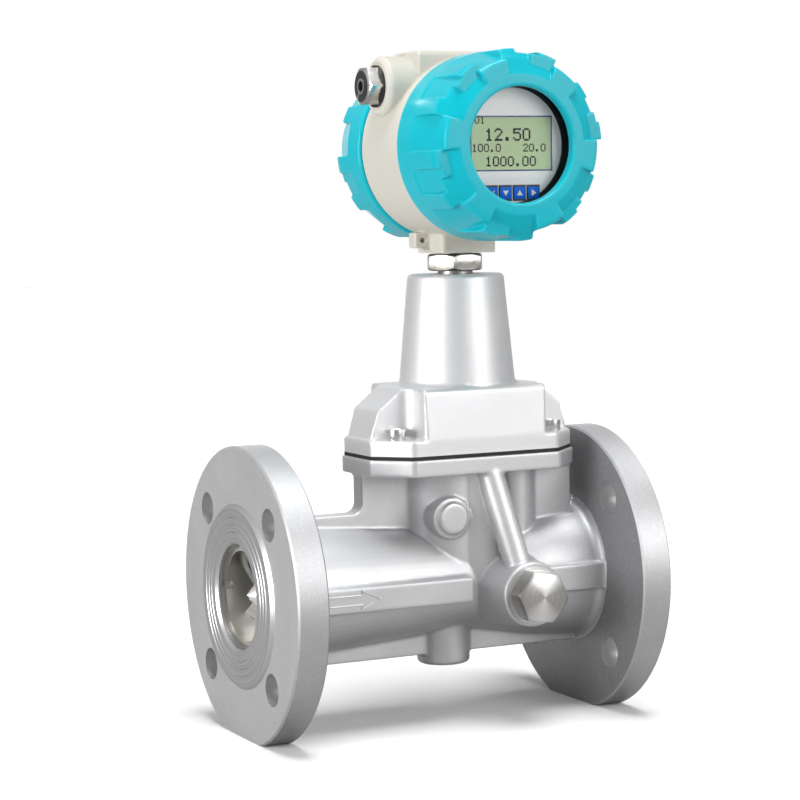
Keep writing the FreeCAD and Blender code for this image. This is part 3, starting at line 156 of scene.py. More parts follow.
# orange peel and slow waves of a sprayed coat
def buildSprayCoat():
    group, given, made = newGroup("sprayCoat", [("Peel", "Float", 500.0), ("Wave", "Float", 18.0)],
                                  [("Height", "Float"), ("Tone", "Float")])
    place = addNode(group, "ShaderNodeTexCoord").outputs["Object"]
    peel = addNode(group, "ShaderNodeTexNoise", {"Vector": place, "Scale": given["Peel"], "Detail": 1.0})
    wave = addNode(group, "ShaderNodeTexNoise", {"Vector": place, "Scale": given["Wave"], "Detail": 2.0})
    group.links.new(peel.outputs["Fac"], made["Height"])
    group.links.new(wave.outputs["Fac"], made["Tone"])
    return group


# painted highlight on sharp edges and painted shade in hollow corners, from the bend of the surface
def buildEdgeGlintCornerShade():
    group, given, made = newGroup("edgeGlintCornerShade", [("Edge", "Float", 0.06), ("Corner", "Float", 0.06)],
                                  [("Edge", "Float"), ("Corner", "Float")])
    bend = addNode(group, "ShaderNodeNewGeometry").outputs["Pointiness"]
    flat = 0.5  # what Pointiness gives on a flat surface
    sharpEnd = addNode(group, "ShaderNodeMath", {0: flat, 1: given["Edge"]}, operation="ADD").outputs[0]
    hollowEnd = addNode(group, "ShaderNodeMath", {0: flat, 1: given["Corner"]},
                        operation="SUBTRACT").outputs[0]
    group.links.new(ramp(group, bend, flat, sharpEnd), made["Edge"])
    group.links.new(ramp(group, bend, flat, hollowEnd), made["Corner"])
    return group


blastGrain = buildBlastGrain()
latheRings = buildLatheRings()
sprayCoat = buildSprayCoat()
edgeGlintCornerShade = buildEdgeGlintCornerShade()


def useGroup(tree, group, values=None):
    node = tree.nodes.new("ShaderNodeGroup")
    node.node_tree = group
    for socket, value in (values or {}).items():
        node.inputs[socket].default_value = value
    return node.outputs


def newFinish(name, settings):
    material = bpy.data.materials.new(name)
    material.use_nodes = True
    shader = material.node_tree.nodes["Principled BSDF"]
    for socket, value in settings.items():
        shader.inputs[socket].default_value = value
    return material, material.node_tree, shader.inputs


def addBump(tree, sockets, height, depth, strength):
    bump = addNode(tree, "ShaderNodeBump", {"Height": height, "Distance": depth, "Strength": strength})
    tree.links.new(bump.outputs["Normal"], sockets["Normal"])


# finishes

castingLook = {"grain": 1400.0, "cloud": 26.0, "shine": 0.4, "fleck": 0.2, "glintFleckTone": rgb(0.9, 0.9, 0.91),
               "cornerShade": 0.3, "cornerShadeTone": rgb(0.25, 0.25, 0.26), "edgeGlintTone": rgb(0.93, 0.93, 0.94),
               "gritLow": 0.2, "gritHigh": 0.8, "rougher": 0.08, "smoother": 0.06, "pit": 0.00012,
               "pitShare": 0.5}


def blastedCasting(name, dark, light, metallic, rough, edgeGlint=0.35):
    look = castingLook
    material, tree, sockets = newFinish(name, {"Metallic": metallic, "Specular IOR Level": look["shine"]})
    grain = useGroup(tree, blastGrain, {"Grain": look["grain"], "Cloud": look["cloud"]})
    base = blendColour(tree, spread(tree, grain["Tone"]), dark, light)
    # bright flecks in the colour: painted glints of the grit
    colour = blendColour(tree, weaken(tree, grain["Fleck"], look["fleck"]), base, look["glintFleckTone"])
    # painted shade darkens the hollow corners and a painted highlight lightens the sharp edges
    if edgeGlint:
        edgeLight = useGroup(tree, edgeGlintCornerShade)
        shaded = blendColour(tree, weaken(tree, edgeLight["Corner"], look["cornerShade"]), colour, look["cornerShadeTone"])
        colour = blendColour(tree, weaken(tree, edgeLight["Edge"], edgeGlint), shaded, look["edgeGlintTone"])
    tree.links.new(colour, sockets["Base Color"])
    gloss = ramp(tree, grain["Height"], look["gritLow"], look["gritHigh"], rough + look["rougher"],
                 rough - look["smoother"])
    tree.links.new(gloss, sockets["Roughness"])
    addBump(tree, sockets, grain["Height"], look["pit"], look["pitShare"])
    return material


turnedLook = {"dull": 0.78, "fan": 0.8, "paintedSheenTone": rgb(0.95, 0.94, 0.92), "rougher": 0.08, "smoother": 0.05,
              "cutShare": 0.6}


def turnedMetal(name, colour, rough, centre, axis, pitch=0.0004, depth=0.00001, fan=None, metallic=1.0):
    look = turnedLook
    material, tree, sockets = newFinish(name, {"Metallic": metallic})
    rings = useGroup(tree, latheRings, {"Centre": centre, "Axis": axis, "Pitch": pitch, "Fan": fan or alongZ})
    tone = blendColour(tree, spread(tree, rings["Streak"]), darker(colour, look["dull"]), colour)
    # painted sheen: the base colour pales in two fans along Fan
    if fan:
        tone = blendColour(tree, weaken(tree, rings["Sheen"], look["fan"]), tone, look["paintedSheenTone"])
    tree.links.new(tone, sockets["Base Color"])
    gloss = spread(tree, rings["Streak"], rough + look["rougher"], rough - look["smoother"])
    tree.links.new(gloss, sockets["Roughness"])
    addBump(tree, sockets, rings["Height"], depth, look["cutShare"])
    return material


paintLook = {"peel": 420.0, "shine": 0.12, "coatRough": 0.12, "edge": 0.5, "paler": 1.25, "lift": 0.05,
             "corner": 0.5, "sunk": 0.72, "smoother": 0.03, "rougher": 0.05, "dimple": 0.0001,
             "dimpleShare": 0.25}


def sprayedPaint(name, colour, deep, rough, coat):
    look = paintLook
    material, tree, sockets = newFinish(name, {"Coat Weight": coat, "Coat Roughness": look["coatRough"],
                                               "Specular IOR Level": look["shine"]})
    skin = useGroup(tree, sprayCoat, {"Peel": look["peel"]})
    edgeLight = useGroup(tree, edgeGlintCornerShade)
    tone = blendColour(tree, spread(tree, skin["Tone"]), deep, colour)
    # a painted highlight pales the sharp edges and painted shade darkens the hollow corners
    pale = tuple(min(1.0, c * look["paler"] + look["lift"]) for c in colour[:3]) + (1.0,)
    edged = blendColour(tree, weaken(tree, edgeLight["Edge"], look["edge"]), tone, pale)
    sunk = darker(deep, look["sunk"])
    shaded = blendColour(tree, weaken(tree, edgeLight["Corner"], look["corner"]), edged, sunk)
    tree.links.new(shaded, sockets["Base Color"])
    gloss = spread(tree, skin["Height"], rough - look["smoother"], rough + look["rougher"])
    tree.links.new(gloss, sockets["Roughness"])
    addBump(tree, sockets, skin["Height"], look["dimple"], look["dimpleShare"])
    return material


plasticLook = {"dull": 0.88, "smoother": 0.05, "rougher": 0.07, "dimple": 0.00005, "dimpleShare": 0.3}


def mouldedPlastic(name, colour, rough, grain=900.0, shine=0.5):
    look = plasticLook
    material, tree, sockets = newFinish(name, {"Specular IOR Level": shine})
    skin = useGroup(tree, sprayCoat, {"Peel": grain})
    tone = blendColour(tree, spread(tree, skin["Tone"]), darker(colour, look["dull"]), colour)
    tree.links.new(tone, sockets["Base Color"])
    gloss = spread(tree, skin["Height"], rough - look["smoother"], rough + look["rougher"])
    tree.links.new(gloss, sockets["Roughness"])
    addBump(tree, sockets, skin["Height"], look["dimple"], look["dimpleShare"])
    return material


paneLook = {"rough": 0.02, "bend": 1.15, "tintLow": rgb(0.92, 0.97, 0.96), "tintHigh": rgb(0.97, 1.0, 0.99)}


def clearPane(name):
    # a thin mirror that shows only as much as glass would at that angle
    look = paneLook
    material, tree, sockets = newFinish(name, {"Metallic": 1.0, "Roughness": look["rough"]})
    skin = useGroup(tree, sprayCoat)
    tint = blendColour(tree, skin["Tone"], look["tintLow"], look["tintHigh"])
    tree.links.new(tint, sockets["Base Color"])
    glint = addNode(tree, "ShaderNodeFresnel", {"IOR": look["bend"]}).outputs[0]
    tree.links.new(glint, sockets["Alpha"])
    return material


def middle(node):
    low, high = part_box(node)
    return (low + high) / 2


def castGrey(level):
    return rgb(level, level, level + 0.01)


bodyMetal = blastedCasting("bodyMetal", castGrey(0.62), castGrey(0.70), 0.75, 0.46)
# a brighter copy of the casting finish: painted light on the bonnet
bonnetLitMetal = blastedCasting("bonnetLitMetal", castGrey(0.76), castGrey(0.82), 0.65, 0.44)
flangeMetal = blastedCasting("flangeMetal", castGrey(0.59), castGrey(0.65), 0.75, 0.44, edgeGlint=0)
# darker copies of the flange finish as painted shade: for the rim, and darker still for the inner faces
rimShadeMetal = blastedCasting("rimShadeMetal", castGrey(0.50), castGrey(0.56), 0.75, 0.44, edgeGlint=0)
innerFaceShadeMetal = blastedCasting("innerFaceShadeMetal", castGrey(0.36), castGrey(0.41), 0.75, 0.44, edgeGlint=0)
pipeAxis = middle("swirler")
faceMetal = turnedMetal("faceMetal", rgb(0.66, 0.66, 0.66), 0.36, pipeAxis, alongX, 0.0005)
swirlMetal = turnedMetal("swirlMetal", rgb(0.74, 0.72, 0.67), 0.26, pipeAxis, alongX, 0.0012)
vaneLitMetal = turnedMetal("vaneLitMetal", rgb(0.93, 0.93, 0.92), 0.36, pipeAxis, alongX, 0.0012, metallic=0.7)
straightMetal = turnedMetal("straightMetal", rgb(0.80, 0.80, 0.79), 0.28, pipeAxis, alongX, 0.0012)
clipSteel = turnedMetal("clipSteel", rgb(0.42, 0.41, 0.40), 0.3, pipeAxis, alongX)
# the plug and the gland carry the painted sheen in two bright fans
plugSteel = turnedMetal("plugSteel", rgb(0.50, 0.48, 0.46), 0.34, middle("pressure_tap_plug"), alongY,
                        depth=0.000002, fan=(0.17, 0.0, 0.98))
washerMetal = turnedMetal("washerMetal", rgb(0.72, 0.72, 0.72), 0.35, middle("plug_washer"), alongY)
nutSteel = turnedMetal("nutSteel", rgb(0.50, 0.48, 0.44), 0.22, middle("lock_nut"), alongZ)
nippleSteel = turnedMetal("nippleSteel", rgb(0.55, 0.53, 0.5), 0.35, middle("neck_nipple"), alongZ, 0.0015,
                          0.0003)
glandSteel = turnedMetal("glandSteel", rgb(0.46, 0.45, 0.43), 0.24, middle("cable_gland"), alongX, 0.0005,
                         fan=(0.0, -0.9, 0.44))
entrySteel = turnedMetal("entrySteel", rgb(0.66, 0.64, 0.60), 0.26, middle("entry_plug"), alongX, 0.0005)
screwSteel = turnedMetal("screwSteel", rgb(0.70, 0.69, 0.67), 0.25, middle("bonnet_screws"), alongZ)
sensorSteel = turnedMetal("sensorSteel", rgb(0.66, 0.66, 0.66), 0.3, middle("vortex_sensor"), alongZ)
brass = turnedMetal("brass", rgb(0.74, 0.56, 0.25), 0.3, middle("sensor_gland"), alongZ)
coverPaint = sprayedPaint("coverPaint", rgb(0.0, 0.53, 0.64), rgb(0.0, 0.48, 0.58), 0.32, 0.3)
housingPaint = sprayedPaint("housingPaint", rgb(0.70, 0.675, 0.60), rgb(0.66, 0.635, 0.56), 0.45, 0.1)
gasketBlack = mouldedPlastic("gasketBlack", rgb(0.012, 0.012, 0.013), 0.6)
sealRubber = mouldedPlastic("sealRubber", rgb(0.02, 0.02, 0.02), 0.5)
ringPlastic = mouldedPlastic("ringPlastic", rgb(0.02, 0.02, 0.022), 0.45)
plateWhite = mouldedPlastic("plateWhite", rgb(0.97, 0.97, 0.97), 0.35, shine=0.2)
lcdBody = mouldedPlastic("lcdBody", rgb(0.30, 0.34, 0.30), 0.4)
lcdGreen = mouldedPlastic("lcdGreen", rgb(0.56, 0.72, 0.42), 0.5, 1800.0, 0.2)
lcdInk = mouldedPlastic("lcdInk", rgb(0.004, 0.006, 0.004), 0.5, shine=0.1)
borderBlue = mouldedPlastic("borderBlue", rgb(0.012, 0.02, 0.2), 0.35)
keyBlue = mouldedPlastic("keyBlue", rgb(0.004, 0.17, 0.82), 0.35, shine=0.1)
signWhite = mouldedPlastic("signWhite", rgb(0.9, 0.9, 0.9), 0.35)
boardGreen = mouldedPlastic("boardGreen", rgb(0.02, 0.16, 0.06), 0.35)
cellWrap = mouldedPlastic("cellWrap", rgb(0.05, 0.25, 0.10), 0.3)
terminalPlastic = mouldedPlastic("terminalPlastic", rgb(0.05, 0.22, 0.08), 0.4)
paneClear = clearPane("paneClear")
print("finishes ready:", len(bpy.data.materials))

nodeFinish = {
    "swirler": swirlMetal, "swirler_clip": clipSteel, "straightener_clip": clipSteel,
    "flow_straightener": straightMetal, "vortex_sensor": sensorSteel, "vortex_sensor_seal": sealRubber,
    "sensor_gland": brass, "temperature_probe": sensorSteel, "pressure_sensor": sensorSteel,
    "bonnet_gasket": gasketBlack, "neck_nipple": nippleSteel, "plug_washer": washerMetal,
    "gland_seal": sealRubber, "entry_plug_seal": sealRubber, "window_gasket": sealRubber,
    "window_glass": paneClear, "window_retainer": ringPlastic, "front_cover_seal": sealRubber,
    "rear_cover_seal": sealRubber, "main_board": boardGreen, "main_board_standoffs": brass,
    "display_standoffs": brass, "display_board": boardGreen, "display_carrier": ringPlastic,
    "display_faceplate": plateWhite, "display_module": lcdBody, "battery": cellWrap,
    "battery_holder": ringPlastic, "terminal_standoffs": brass, "terminal_board": boardGreen,
    "terminal_block": terminalPlastic, "terminal_screws": screwSteel, "entry_plug": entrySteel,
    "cable_gland": glandSteel, "lock_nut": nutSteel, "pressure_tap_plug": plugSteel,
    "bonnet_screws": screwSteel, "meter_body": bodyMetal, "bonnet": bonnetLitMetal,
    "front_cover": coverPaint, "rear_cover": coverPaint, "electronics_housing": housingPaint,
    "rear_collar": housingPaint, "housing_foot": housingPaint, "sealing_lug": housingPaint,
    "key_enter": keyBlue, "key_down": keyBlue, "key_up": keyBlue, "key_right": keyBlue,
}
for nodeName, finish in nodeFinish.items():
    cadNodes[nodeName].data.materials.clear()
    cadNodes[nodeName].data.materials.append(finish)


# mesh helpers

weldGap = 0.001 * mm
cutGap = 0.0001 * mm
hair = 0.01 * mm  # closer than this to a machined plane counts as on it


def cadCopy(nodeName):
    # a copy of a CAD mesh, with its seams welded
    mesh = cadNodes[nodeName].data.copy()
    for extra in ("custom_normal", "sharp_face", "sharp_edge"):
        if extra in mesh.attributes:
            mesh.attributes.remove(mesh.attributes[extra])
    work = bmesh.new()
    work.from_mesh(mesh)
    bmesh.ops.remove_doubles(work, verts=work.verts, dist=weldGap)
    work.to_mesh(mesh)
    work.free()
    return mesh


def trim(mesh, point, outward):
    # takes away what lies past the plane and closes the cut
    work = bmesh.new()
    work.from_mesh(mesh)
    everything = work.verts[:] + work.edges[:] + work.faces[:]
    cut = bmesh.ops.bisect_plane(work, geom=everything, plane_co=point, plane_no=outward, clear_outer=True,
                                 dist=cutGap)
    rims = [item for item in cut["geom_cut"] if isinstance(item, bmesh.types.BMEdge)]
    bmesh.ops.triangle_fill(work, use_beauty=True, edges=rims, normal=outward)
    work.to_mesh(mesh)
    work.free()
    return mesh


def soften(mesh, style):
    # rounds the edges and fills the corners as a mould does
    piece = bpy.data.objects.new("softening", mesh)
    scene.collection.objects.link(piece)
    melt = piece.modifiers.new("melt", "REMESH")
    melt.mode = "VOXEL"
    melt.voxel_size = style["voxel"] * mm
    ease = piece.modifiers.new("ease", "SMOOTH")
    ease.factor = 0.5
    ease.iterations = style["rounds"]
    thin = piece.modifiers.new("thin", "DECIMATE")
    thin.ratio = style["keep"]
    bpy.context.view_layer.update()
    graph = bpy.context.evaluated_depsgraph_get()
    soft = bpy.data.meshes.new_from_object(piece.evaluated_get(graph))
    bpy.data.objects.remove(piece)
    return soft


def gather(name, meshes):
    mesh = bpy.data.meshes.new(name)
    work = bmesh.new()
    for part in meshes:
        work.from_mesh(part)
    work.to_mesh(mesh)
    work.free()
    return mesh


def addPiece(name, mesh, body, finish, slotName, *replaced, sharp=35):
    mesh.materials.clear()
    mesh.materials.append(finish)
    mesh.polygons.foreach_set("use_smooth", [True] * len(mesh.polygons))
    mesh.polygons.foreach_set("material_index", [0] * len(mesh.polygons))
    mesh.set_sharp_from_angle(angle=math.radians(sharp))
    piece = bpy.data.objects.new(name, mesh)
    scene.collection.objects.link(piece)
    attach(piece, body)
    if replaced:
        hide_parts(*replaced)
    return piece


def oblong(x0, x1, z0, z1, y):
    return [(x0, y, z0), (x1, y, z0), (x1, y, z1), (x0, y, z1)]


def prism(corners, depth):
    # a flat sign in the XZ plane whose face looks along -Y; corners are (x, y of the face, z)
    work = bmesh.new()
    front = work.faces.new([work.verts.new(c) for c in corners])
    raised = bmesh.ops.extrude_face_region(work, geom=[front])
    lifted = [item for item in raised["geom"] if isinstance(item, bmesh.types.BMVert)]
    bmesh.ops.translate(work, verts=lifted, vec=(0, depth, 0))
    bmesh.ops.recalc_face_normals(work, faces=work.faces)
    mesh = bpy.data.meshes.new("sign")
    work.to_mesh(mesh)
    work.free()
    return mesh


def flatRing(centre, onFace, outward, inner, outer, thick, steps=128):
    # a ring about a line through centre, standing out from the plane through onFace; sizes in mm
    foot = centre + outward * (onFace - centre).dot(outward)
    side = Vector((outward.y, outward.z, outward.x))
    rise = outward.cross(side)
    turns = [2 * math.pi * i / steps for i in range(steps)]
    spokes = [side * math.cos(t) + rise * math.sin(t) for t in turns]
    work = bmesh.new()
    loops = []
    for radius, lift in ((inner, 0), (inner, thick), (outer, thick), (outer, 0)):
        level = foot + outward * lift * mm
        loops.append([work.verts.new(level + spoke * radius * mm) for spoke in spokes])
    for near, far in zip(loops, loops[1:] + loops[:1]):
        for i in range(steps):
            work.faces.new((near[i - 1], near[i], far[i], far[i - 1]))
    bmesh.ops.recalc_face_normals(work, faces=work.faces)
    mesh = bpy.data.meshes.new("ring")
    work.to_mesh(mesh)
    work.free()
    return mesh


def fromPipe(point):
    return math.hypot(point.y - pipeAxis.y, point.z - pipeAxis.z)


# cast body: soft between the flanges, with the machined joint and flange faces kept sharp
bodyCast = {"voxel": 0.85, "rounds": 4, "keep": 0.4, "spare": 6, "sleeve": 8, "flangeCut": 94.85,
            "flangeFace": 113, "sealing": 51.1, "bore": 31, "rim": 80, "inward": -0.5}


def makeBodyCasting(style):
    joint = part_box("meter_body")[1].z
    whole = cadCopy("meter_body")
    core = whole.copy()
    for vert in core.vertices:
        if vert.co.z > joint - hair:
            vert.co.z += style["spare"] * mm
    ends = []
    for side in (-1, 1):
        outward = Vector((side, 0, 0))
        cut = outward * style["flangeCut"] * mm
        trim(core, cut + outward * style["sleeve"] * mm, outward)
        ends.append(trim(whole.copy(), cut, -outward))
    core = soften(core, style)
    trim(core, Vector((0, 0, joint)), Vector((0, 0, 1)))
    for side in (-1, 1):
        trim(core, Vector((side * style["flangeCut"] * mm, 0, 0)), Vector((side, 0, 0)))
    flanges = addPiece("body_flanges", gather("body_flanges", ends), "base", flangeMetal, "body_casting")
    turned, edge, inner = 1, 2, 3  # places of the extra finishes in the material list
    for finish in (faceMetal, rimShadeMetal, innerFaceShadeMetal):
        flanges.data.materials.append(finish)
    for face in flanges.data.polygons:
        reach = fromPipe(face.center)
        outside = abs(face.center.x) > style["flangeFace"] * mm and reach < style["sealing"] * mm
        if outside or reach < style["bore"] * mm:
            face.material_index = turned
        # the rim takes painted shade, a darker copy of the flange finish
        elif reach > style["rim"] * mm:
            face.material_index = edge
        # faces turned toward the body take deeper painted shade
        elif face.normal.x * face.center.x < style["inward"] * abs(face.center.x):
            face.material_index = inner
    return addPiece("body_casting", core, "base", bodyMetal, "body_casting", "meter_body")


# bonnet: soft all over, but flat where it sits on the gasket
bonnetCast = {"voxel": 0.8, "rounds": 4, "keep": 0.5, "spare": 6}


def makeBonnetCasting(style):
    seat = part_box("bonnet")[0].z
    mesh = cadCopy("bonnet")
    for vert in mesh.vertices:
        if vert.co.z < seat + hair:
            vert.co.z -= style["spare"] * mm
    mesh = soften(mesh, style)
    trim(mesh, Vector((0, 0, seat)), Vector((0, 0, -1)))
    return addPiece("bonnet_casting", mesh, "base", bonnetLitMetal, "bonnet_casting", "bonnet")


# painted covers and housing
coverCast = {"voxel": 0.55, "rounds": 2, "keep": 0.5}
housingCast = {"voxel": 0.7, "rounds": 4, "keep": 0.5}
castings = [makeBodyCasting(bodyCast), makeBonnetCasting(bonnetCast)]
for coverName in ("front_cover", "rear_cover"):
    shell = soften(cadCopy(coverName), coverCast)
    castings.append(addPiece(coverName + "_shell", shell, coverName, coverPaint, "cover_paint", coverName))
housingNodes = ("electronics_housing", "housing_foot", "sealing_lug")
housingBlank = gather("housingBlank", [cadCopy(n) for n in housingNodes])
castings.append(addPiece("housing_shell", soften(housingBlank, housingCast), "head", housingPaint,
                         "housing_paint", *housingNodes))
print("castings softened:", sum(len(p.data.polygons) for p in castings), "faces")

# raised outline of the flow arrow on the inlet strip
flowArrow = {"tail": -84, "neck": -56.2, "tip": -45.3, "level": 76.4, "half": 2.6, "headHalf": 5.1,
             "face": -37.5, "bead": 0.6, "beadSteps": 3}


def makeFlowArrow(arrow):
    tail, neck, half, headHalf = arrow["tail"], arrow["neck"], arrow["half"], arrow["headHalf"]
    outline = [(tail, half), (neck, half), (neck, headHalf), (arrow["tip"], 0), (neck, -headHalf),
               (neck, -half), (tail, -half)]
    curve = bpy.data.curves.new("arrowLine", "CURVE")
    curve.dimensions = "3D"
    curve.bevel_depth = arrow["bead"] * mm
    curve.bevel_resolution = arrow["beadSteps"]
    line = curve.splines.new("POLY")
    line.points.add(len(outline) - 1)
    line.use_cyclic_u = True
    for point, (x, rise) in zip(line.points, outline):
        point.co = (x * mm, arrow["face"] * mm, (arrow["level"] + rise) * mm, 1)
    bead = bpy.data.objects.new("arrowBead", curve)
    scene.collection.objects.link(bead)
    bpy.context.view_layer.update()
    mesh = bpy.data.meshes.new_from_object(bead.evaluated_get(bpy.context.evaluated_depsgraph_get()))
    bpy.data.objects.remove(bead)
    return addPiece("flow_arrow", mesh, "base", bodyMetal, "body_casting")


makeFlowArrow(flowArrow)

# display: a green panel with plain numbers in square dots, a blue border, the plate's print and a dark ring
# laid on the plate's edge as painted shadow
display = {"border": 0.8, "panelThick": 0.4, "inkThick": 0.05, "dot": 1.15, "cellWide": 6, "cellTop": 6,
           "frameWide": 2.6, "overlay": 1.7, "shadeRingInner": 30.8, "shadeRingOuter": 36.3, "shadeRingThick": 0.35}
# the rows of dots in each sign, from the top
dotShapes = {
    "0": "01110 10001 10001 10001 10001 10001 01110", "1": "00100 01100 00100 00100 00100 00100 01110",
    "2": "01110 10001 00001 00010 00100 01000 11111", "5": "11111 10000 11110 00001 00001 10001 01110",
    ".": "00000 00000 00000 00000 00000 01100 01100",
}
# number, its right end from the panel's left edge, its foot from the panel's lower edge, dot pitch; in mm
readings = [("01", 9.0, 24.6, 0.55), ("12.50", 37.0, 15.4, 0.95), ("100.0", 18.5, 9.6, 0.6),
            ("20.0", 46.0, 9.6, 0.6), ("1000.00", 40.0, 1.8, 0.75)]


def dotPlaces(letter):
    for row, line in enumerate(dotShapes[letter].split()):
        for column, lit in enumerate(line):
            if lit == "1":
                yield row, column


def makeDigits(style, left, bottom, y):
    dots = []
    for text, rightEnd, foot, pitch in readings:
        start = left + (rightEnd - style["cellWide"] * pitch * len(text)) * mm
        size = style["dot"] * pitch * mm
        for cell, letter in enumerate(text):
            for row, column in dotPlaces(letter):
                x = start + (style["cellWide"] * cell + column) * pitch * mm
                z = bottom + (foot + (style["cellTop"] - row) * pitch) * mm
                dots.append(prism(oblong(x, x + size, z, z + size, y), style["inkThick"] * mm))
    addPiece("lcd_digits", gather("lcd_digits", dots), "head", lcdInk, "lcd")


def makeDisplay(style):
    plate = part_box("display_faceplate")[0].y
    moduleLow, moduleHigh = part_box("display_module")
    edge, line = style["frameWide"] * mm, style["border"] * mm
    panelThick, inkThick = style["panelThick"] * mm, style["inkThick"] * mm
    left, right = moduleLow.x + edge, moduleHigh.x - edge
    bottom, rise = moduleLow.z + edge, moduleHigh.z - edge
    top = rise - style["overlay"] * mm
    face = moduleLow.y - panelThick
    panel = prism(oblong(left, right, bottom, top, face), panelThick)
    addPiece("lcd_panel", panel, "head", lcdGreen, "lcd")
    makeDigits(style, left, bottom, face - inkThick)
    front = plate - inkThick
    sides = [(left - line, right + line, top, top + line), (left - line, right + line, bottom - line, bottom),
             (left - line, left, bottom, top), (right, right + line, bottom, top)]
    bars = [prism(oblong(*side, front), inkThick) for side in sides]
    addPiece("lcd_border", gather("lcd_border", bars), "head", borderBlue, "faceplate_white")
    strip = oblong(left - edge, right + edge, top + line, rise + edge, front)
    addPiece("faceplate_overlay", prism(strip, inkThick), "head", plateWhite, "faceplate_white")
    # a black ring on the plate's edge: painted shadow under the cover's lip
    ring = flatRing(middle("display_faceplate"), Vector((0, plate, 0)), -Vector(alongY), style["shadeRingInner"],
                    style["shadeRingOuter"], style["shadeRingThick"])
    addPiece("display_shade_ring", ring, "head", ringPlastic, "faceplate_white")


makeDisplay(display)

# keys: bevelled caps with white signs, each in a thin dark outline
keyStyle = {"round": 0.45, "sign": 1.7, "signThick": 0.06, "rim": 0.15, "rimThick": 0.04}
keySigns = {
    "key_enter": [(-1.1, 0.0), (-0.2, -0.8), (-0.2, -0.25), (0.6, -0.25), (0.6, 0.8), (1.0, 0.8), (1.0, 0.25),
                  (-0.2, 0.25), (-0.2, 0.8)],
    "key_down": [(-1, 0.75), (0, -0.85), (1, 0.75)],
    "key_up": [(-1, -0.75), (1, -0.75), (0, 0.85)],
    "key_right": [(-0.75, -1), (0.95, 0), (-0.75, 1)],
}


def bevelCopy(nodeName, width, steps=2, bend=30, flat=1):
    # merges what is flat within one angle, then breaks the edges past the other; both in degrees
    mesh = cadCopy(nodeName)
    work = bmesh.new()
    work.from_mesh(mesh)
    bmesh.ops.dissolve_limit(work, angle_limit=math.radians(flat), verts=work.verts, edges=work.edges)
    edges = [e for e in work.edges if len(e.link_faces) == 2 and e.calc_face_angle(0) > math.radians(bend)]
    bmesh.ops.bevel(work, geom=edges, offset=width * mm, segments=steps, affect="EDGES", profile=0.5,
                    clamp_overlap=True)
    work.to_mesh(mesh)
    work.free()
    return mesh


def makeKeys(style):
    rim, rimThick = style["rim"] * mm, style["rimThick"] * mm
    size, signThick = style["sign"] * mm, style["signThick"] * mm
    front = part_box("display_faceplate")[0].y - rimThick
    for nodeName, shape in keySigns.items():
        low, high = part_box(nodeName)
        centre = middle(nodeName)
        body = nodeName + "_body"
        addPiece(nodeName + "_cap", bevelCopy(nodeName, style["round"]), body, keyBlue, "key_blue", nodeName)
        outline = prism(oblong(low.x - rim, high.x + rim, low.z - rim, high.z + rim, front), rimThick)
        addPiece(nodeName + "_rim", outline, "head", ringPlastic, "faceplate_white")
        corners = [(centre.x + x * size, low.y - signThick, centre.z + z * size) for x, z in shape]
        addPiece(nodeName + "_sign", prism(corners, signThick), body, signWhite, "key_blue")


makeKeys(keyStyle)

# turned and milled fittings with their edges broken
fittings = {"lock_nut": ("base", "nut_steel", 0.35), "pressure_tap_plug": ("base", "plug_steel", 0.3),
            "cable_gland": ("head", "entry_steel", 0.3), "entry_plug": ("head", "entry_steel", 0.3),
            "bonnet_screws": ("base", "screw_steel", 0.25)}
for nodeName, (body, slotName, width) in fittings.items():
    broken = bevelCopy(nodeName, width)
    addPiece(nodeName + "_edged", broken, body, nodeFinish[nodeName], slotName, nodeName)

# swirler: the vanes inside the polished shell get a brighter copy of its finish, painted light in the bore
swirlInside = {"shell": 24.6}


def finishSwirler(style):
    mesh = cadNodes["swirler"].data
    mesh.materials.append(vaneLitMetal)
    for face in mesh.polygons:
        if fromPipe(face.center) < style["shell"] * mm:
            face.material_index = 1


finishSwirler(swirlInside)

# gland: a black rubber lining in the bore, which also serves as painted shade inside the hole, and a turned
# lip around its mouth
glandMouth = {"bore": 3.2, "lipInner": 3.0, "lipOuter": 4.4, "lipThick": 0.35, "lipSteps": 64}


def makeGlandMouth(style):
    axis = middle("cable_gland")
    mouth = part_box("cable_gland")[0]
    shell = bpy.data.objects["cable_gland_edged"].data
    # the bore's metal faces take the black rubber finish, painted shade inside the hole
    shell.materials.append(sealRubber)
    for face in shell.polygons:
        if math.hypot(face.center.y - axis.y, face.center.z - axis.z) < style["bore"] * mm:
            face.material_index = 1
    lip = flatRing(axis, mouth, -Vector(alongX), style["lipInner"], style["lipOuter"], style["lipThick"],
                   style["lipSteps"])
    addPiece("gland_lip", lip, "head", entrySteel, "entry_steel")


makeGlandMouth(glandMouth)
print("small pieces made")

# floor, world and lamps
stage = {"floorSize": 16.0, "floorTone": 0.99, "floorDim": 0.42, "floorGlow": 0.025, "ambient": 0.24,
         "glossLow": 0.15, "glossHigh": 0.75, "glossFrom": -0.3, "glossTo": 0.9}


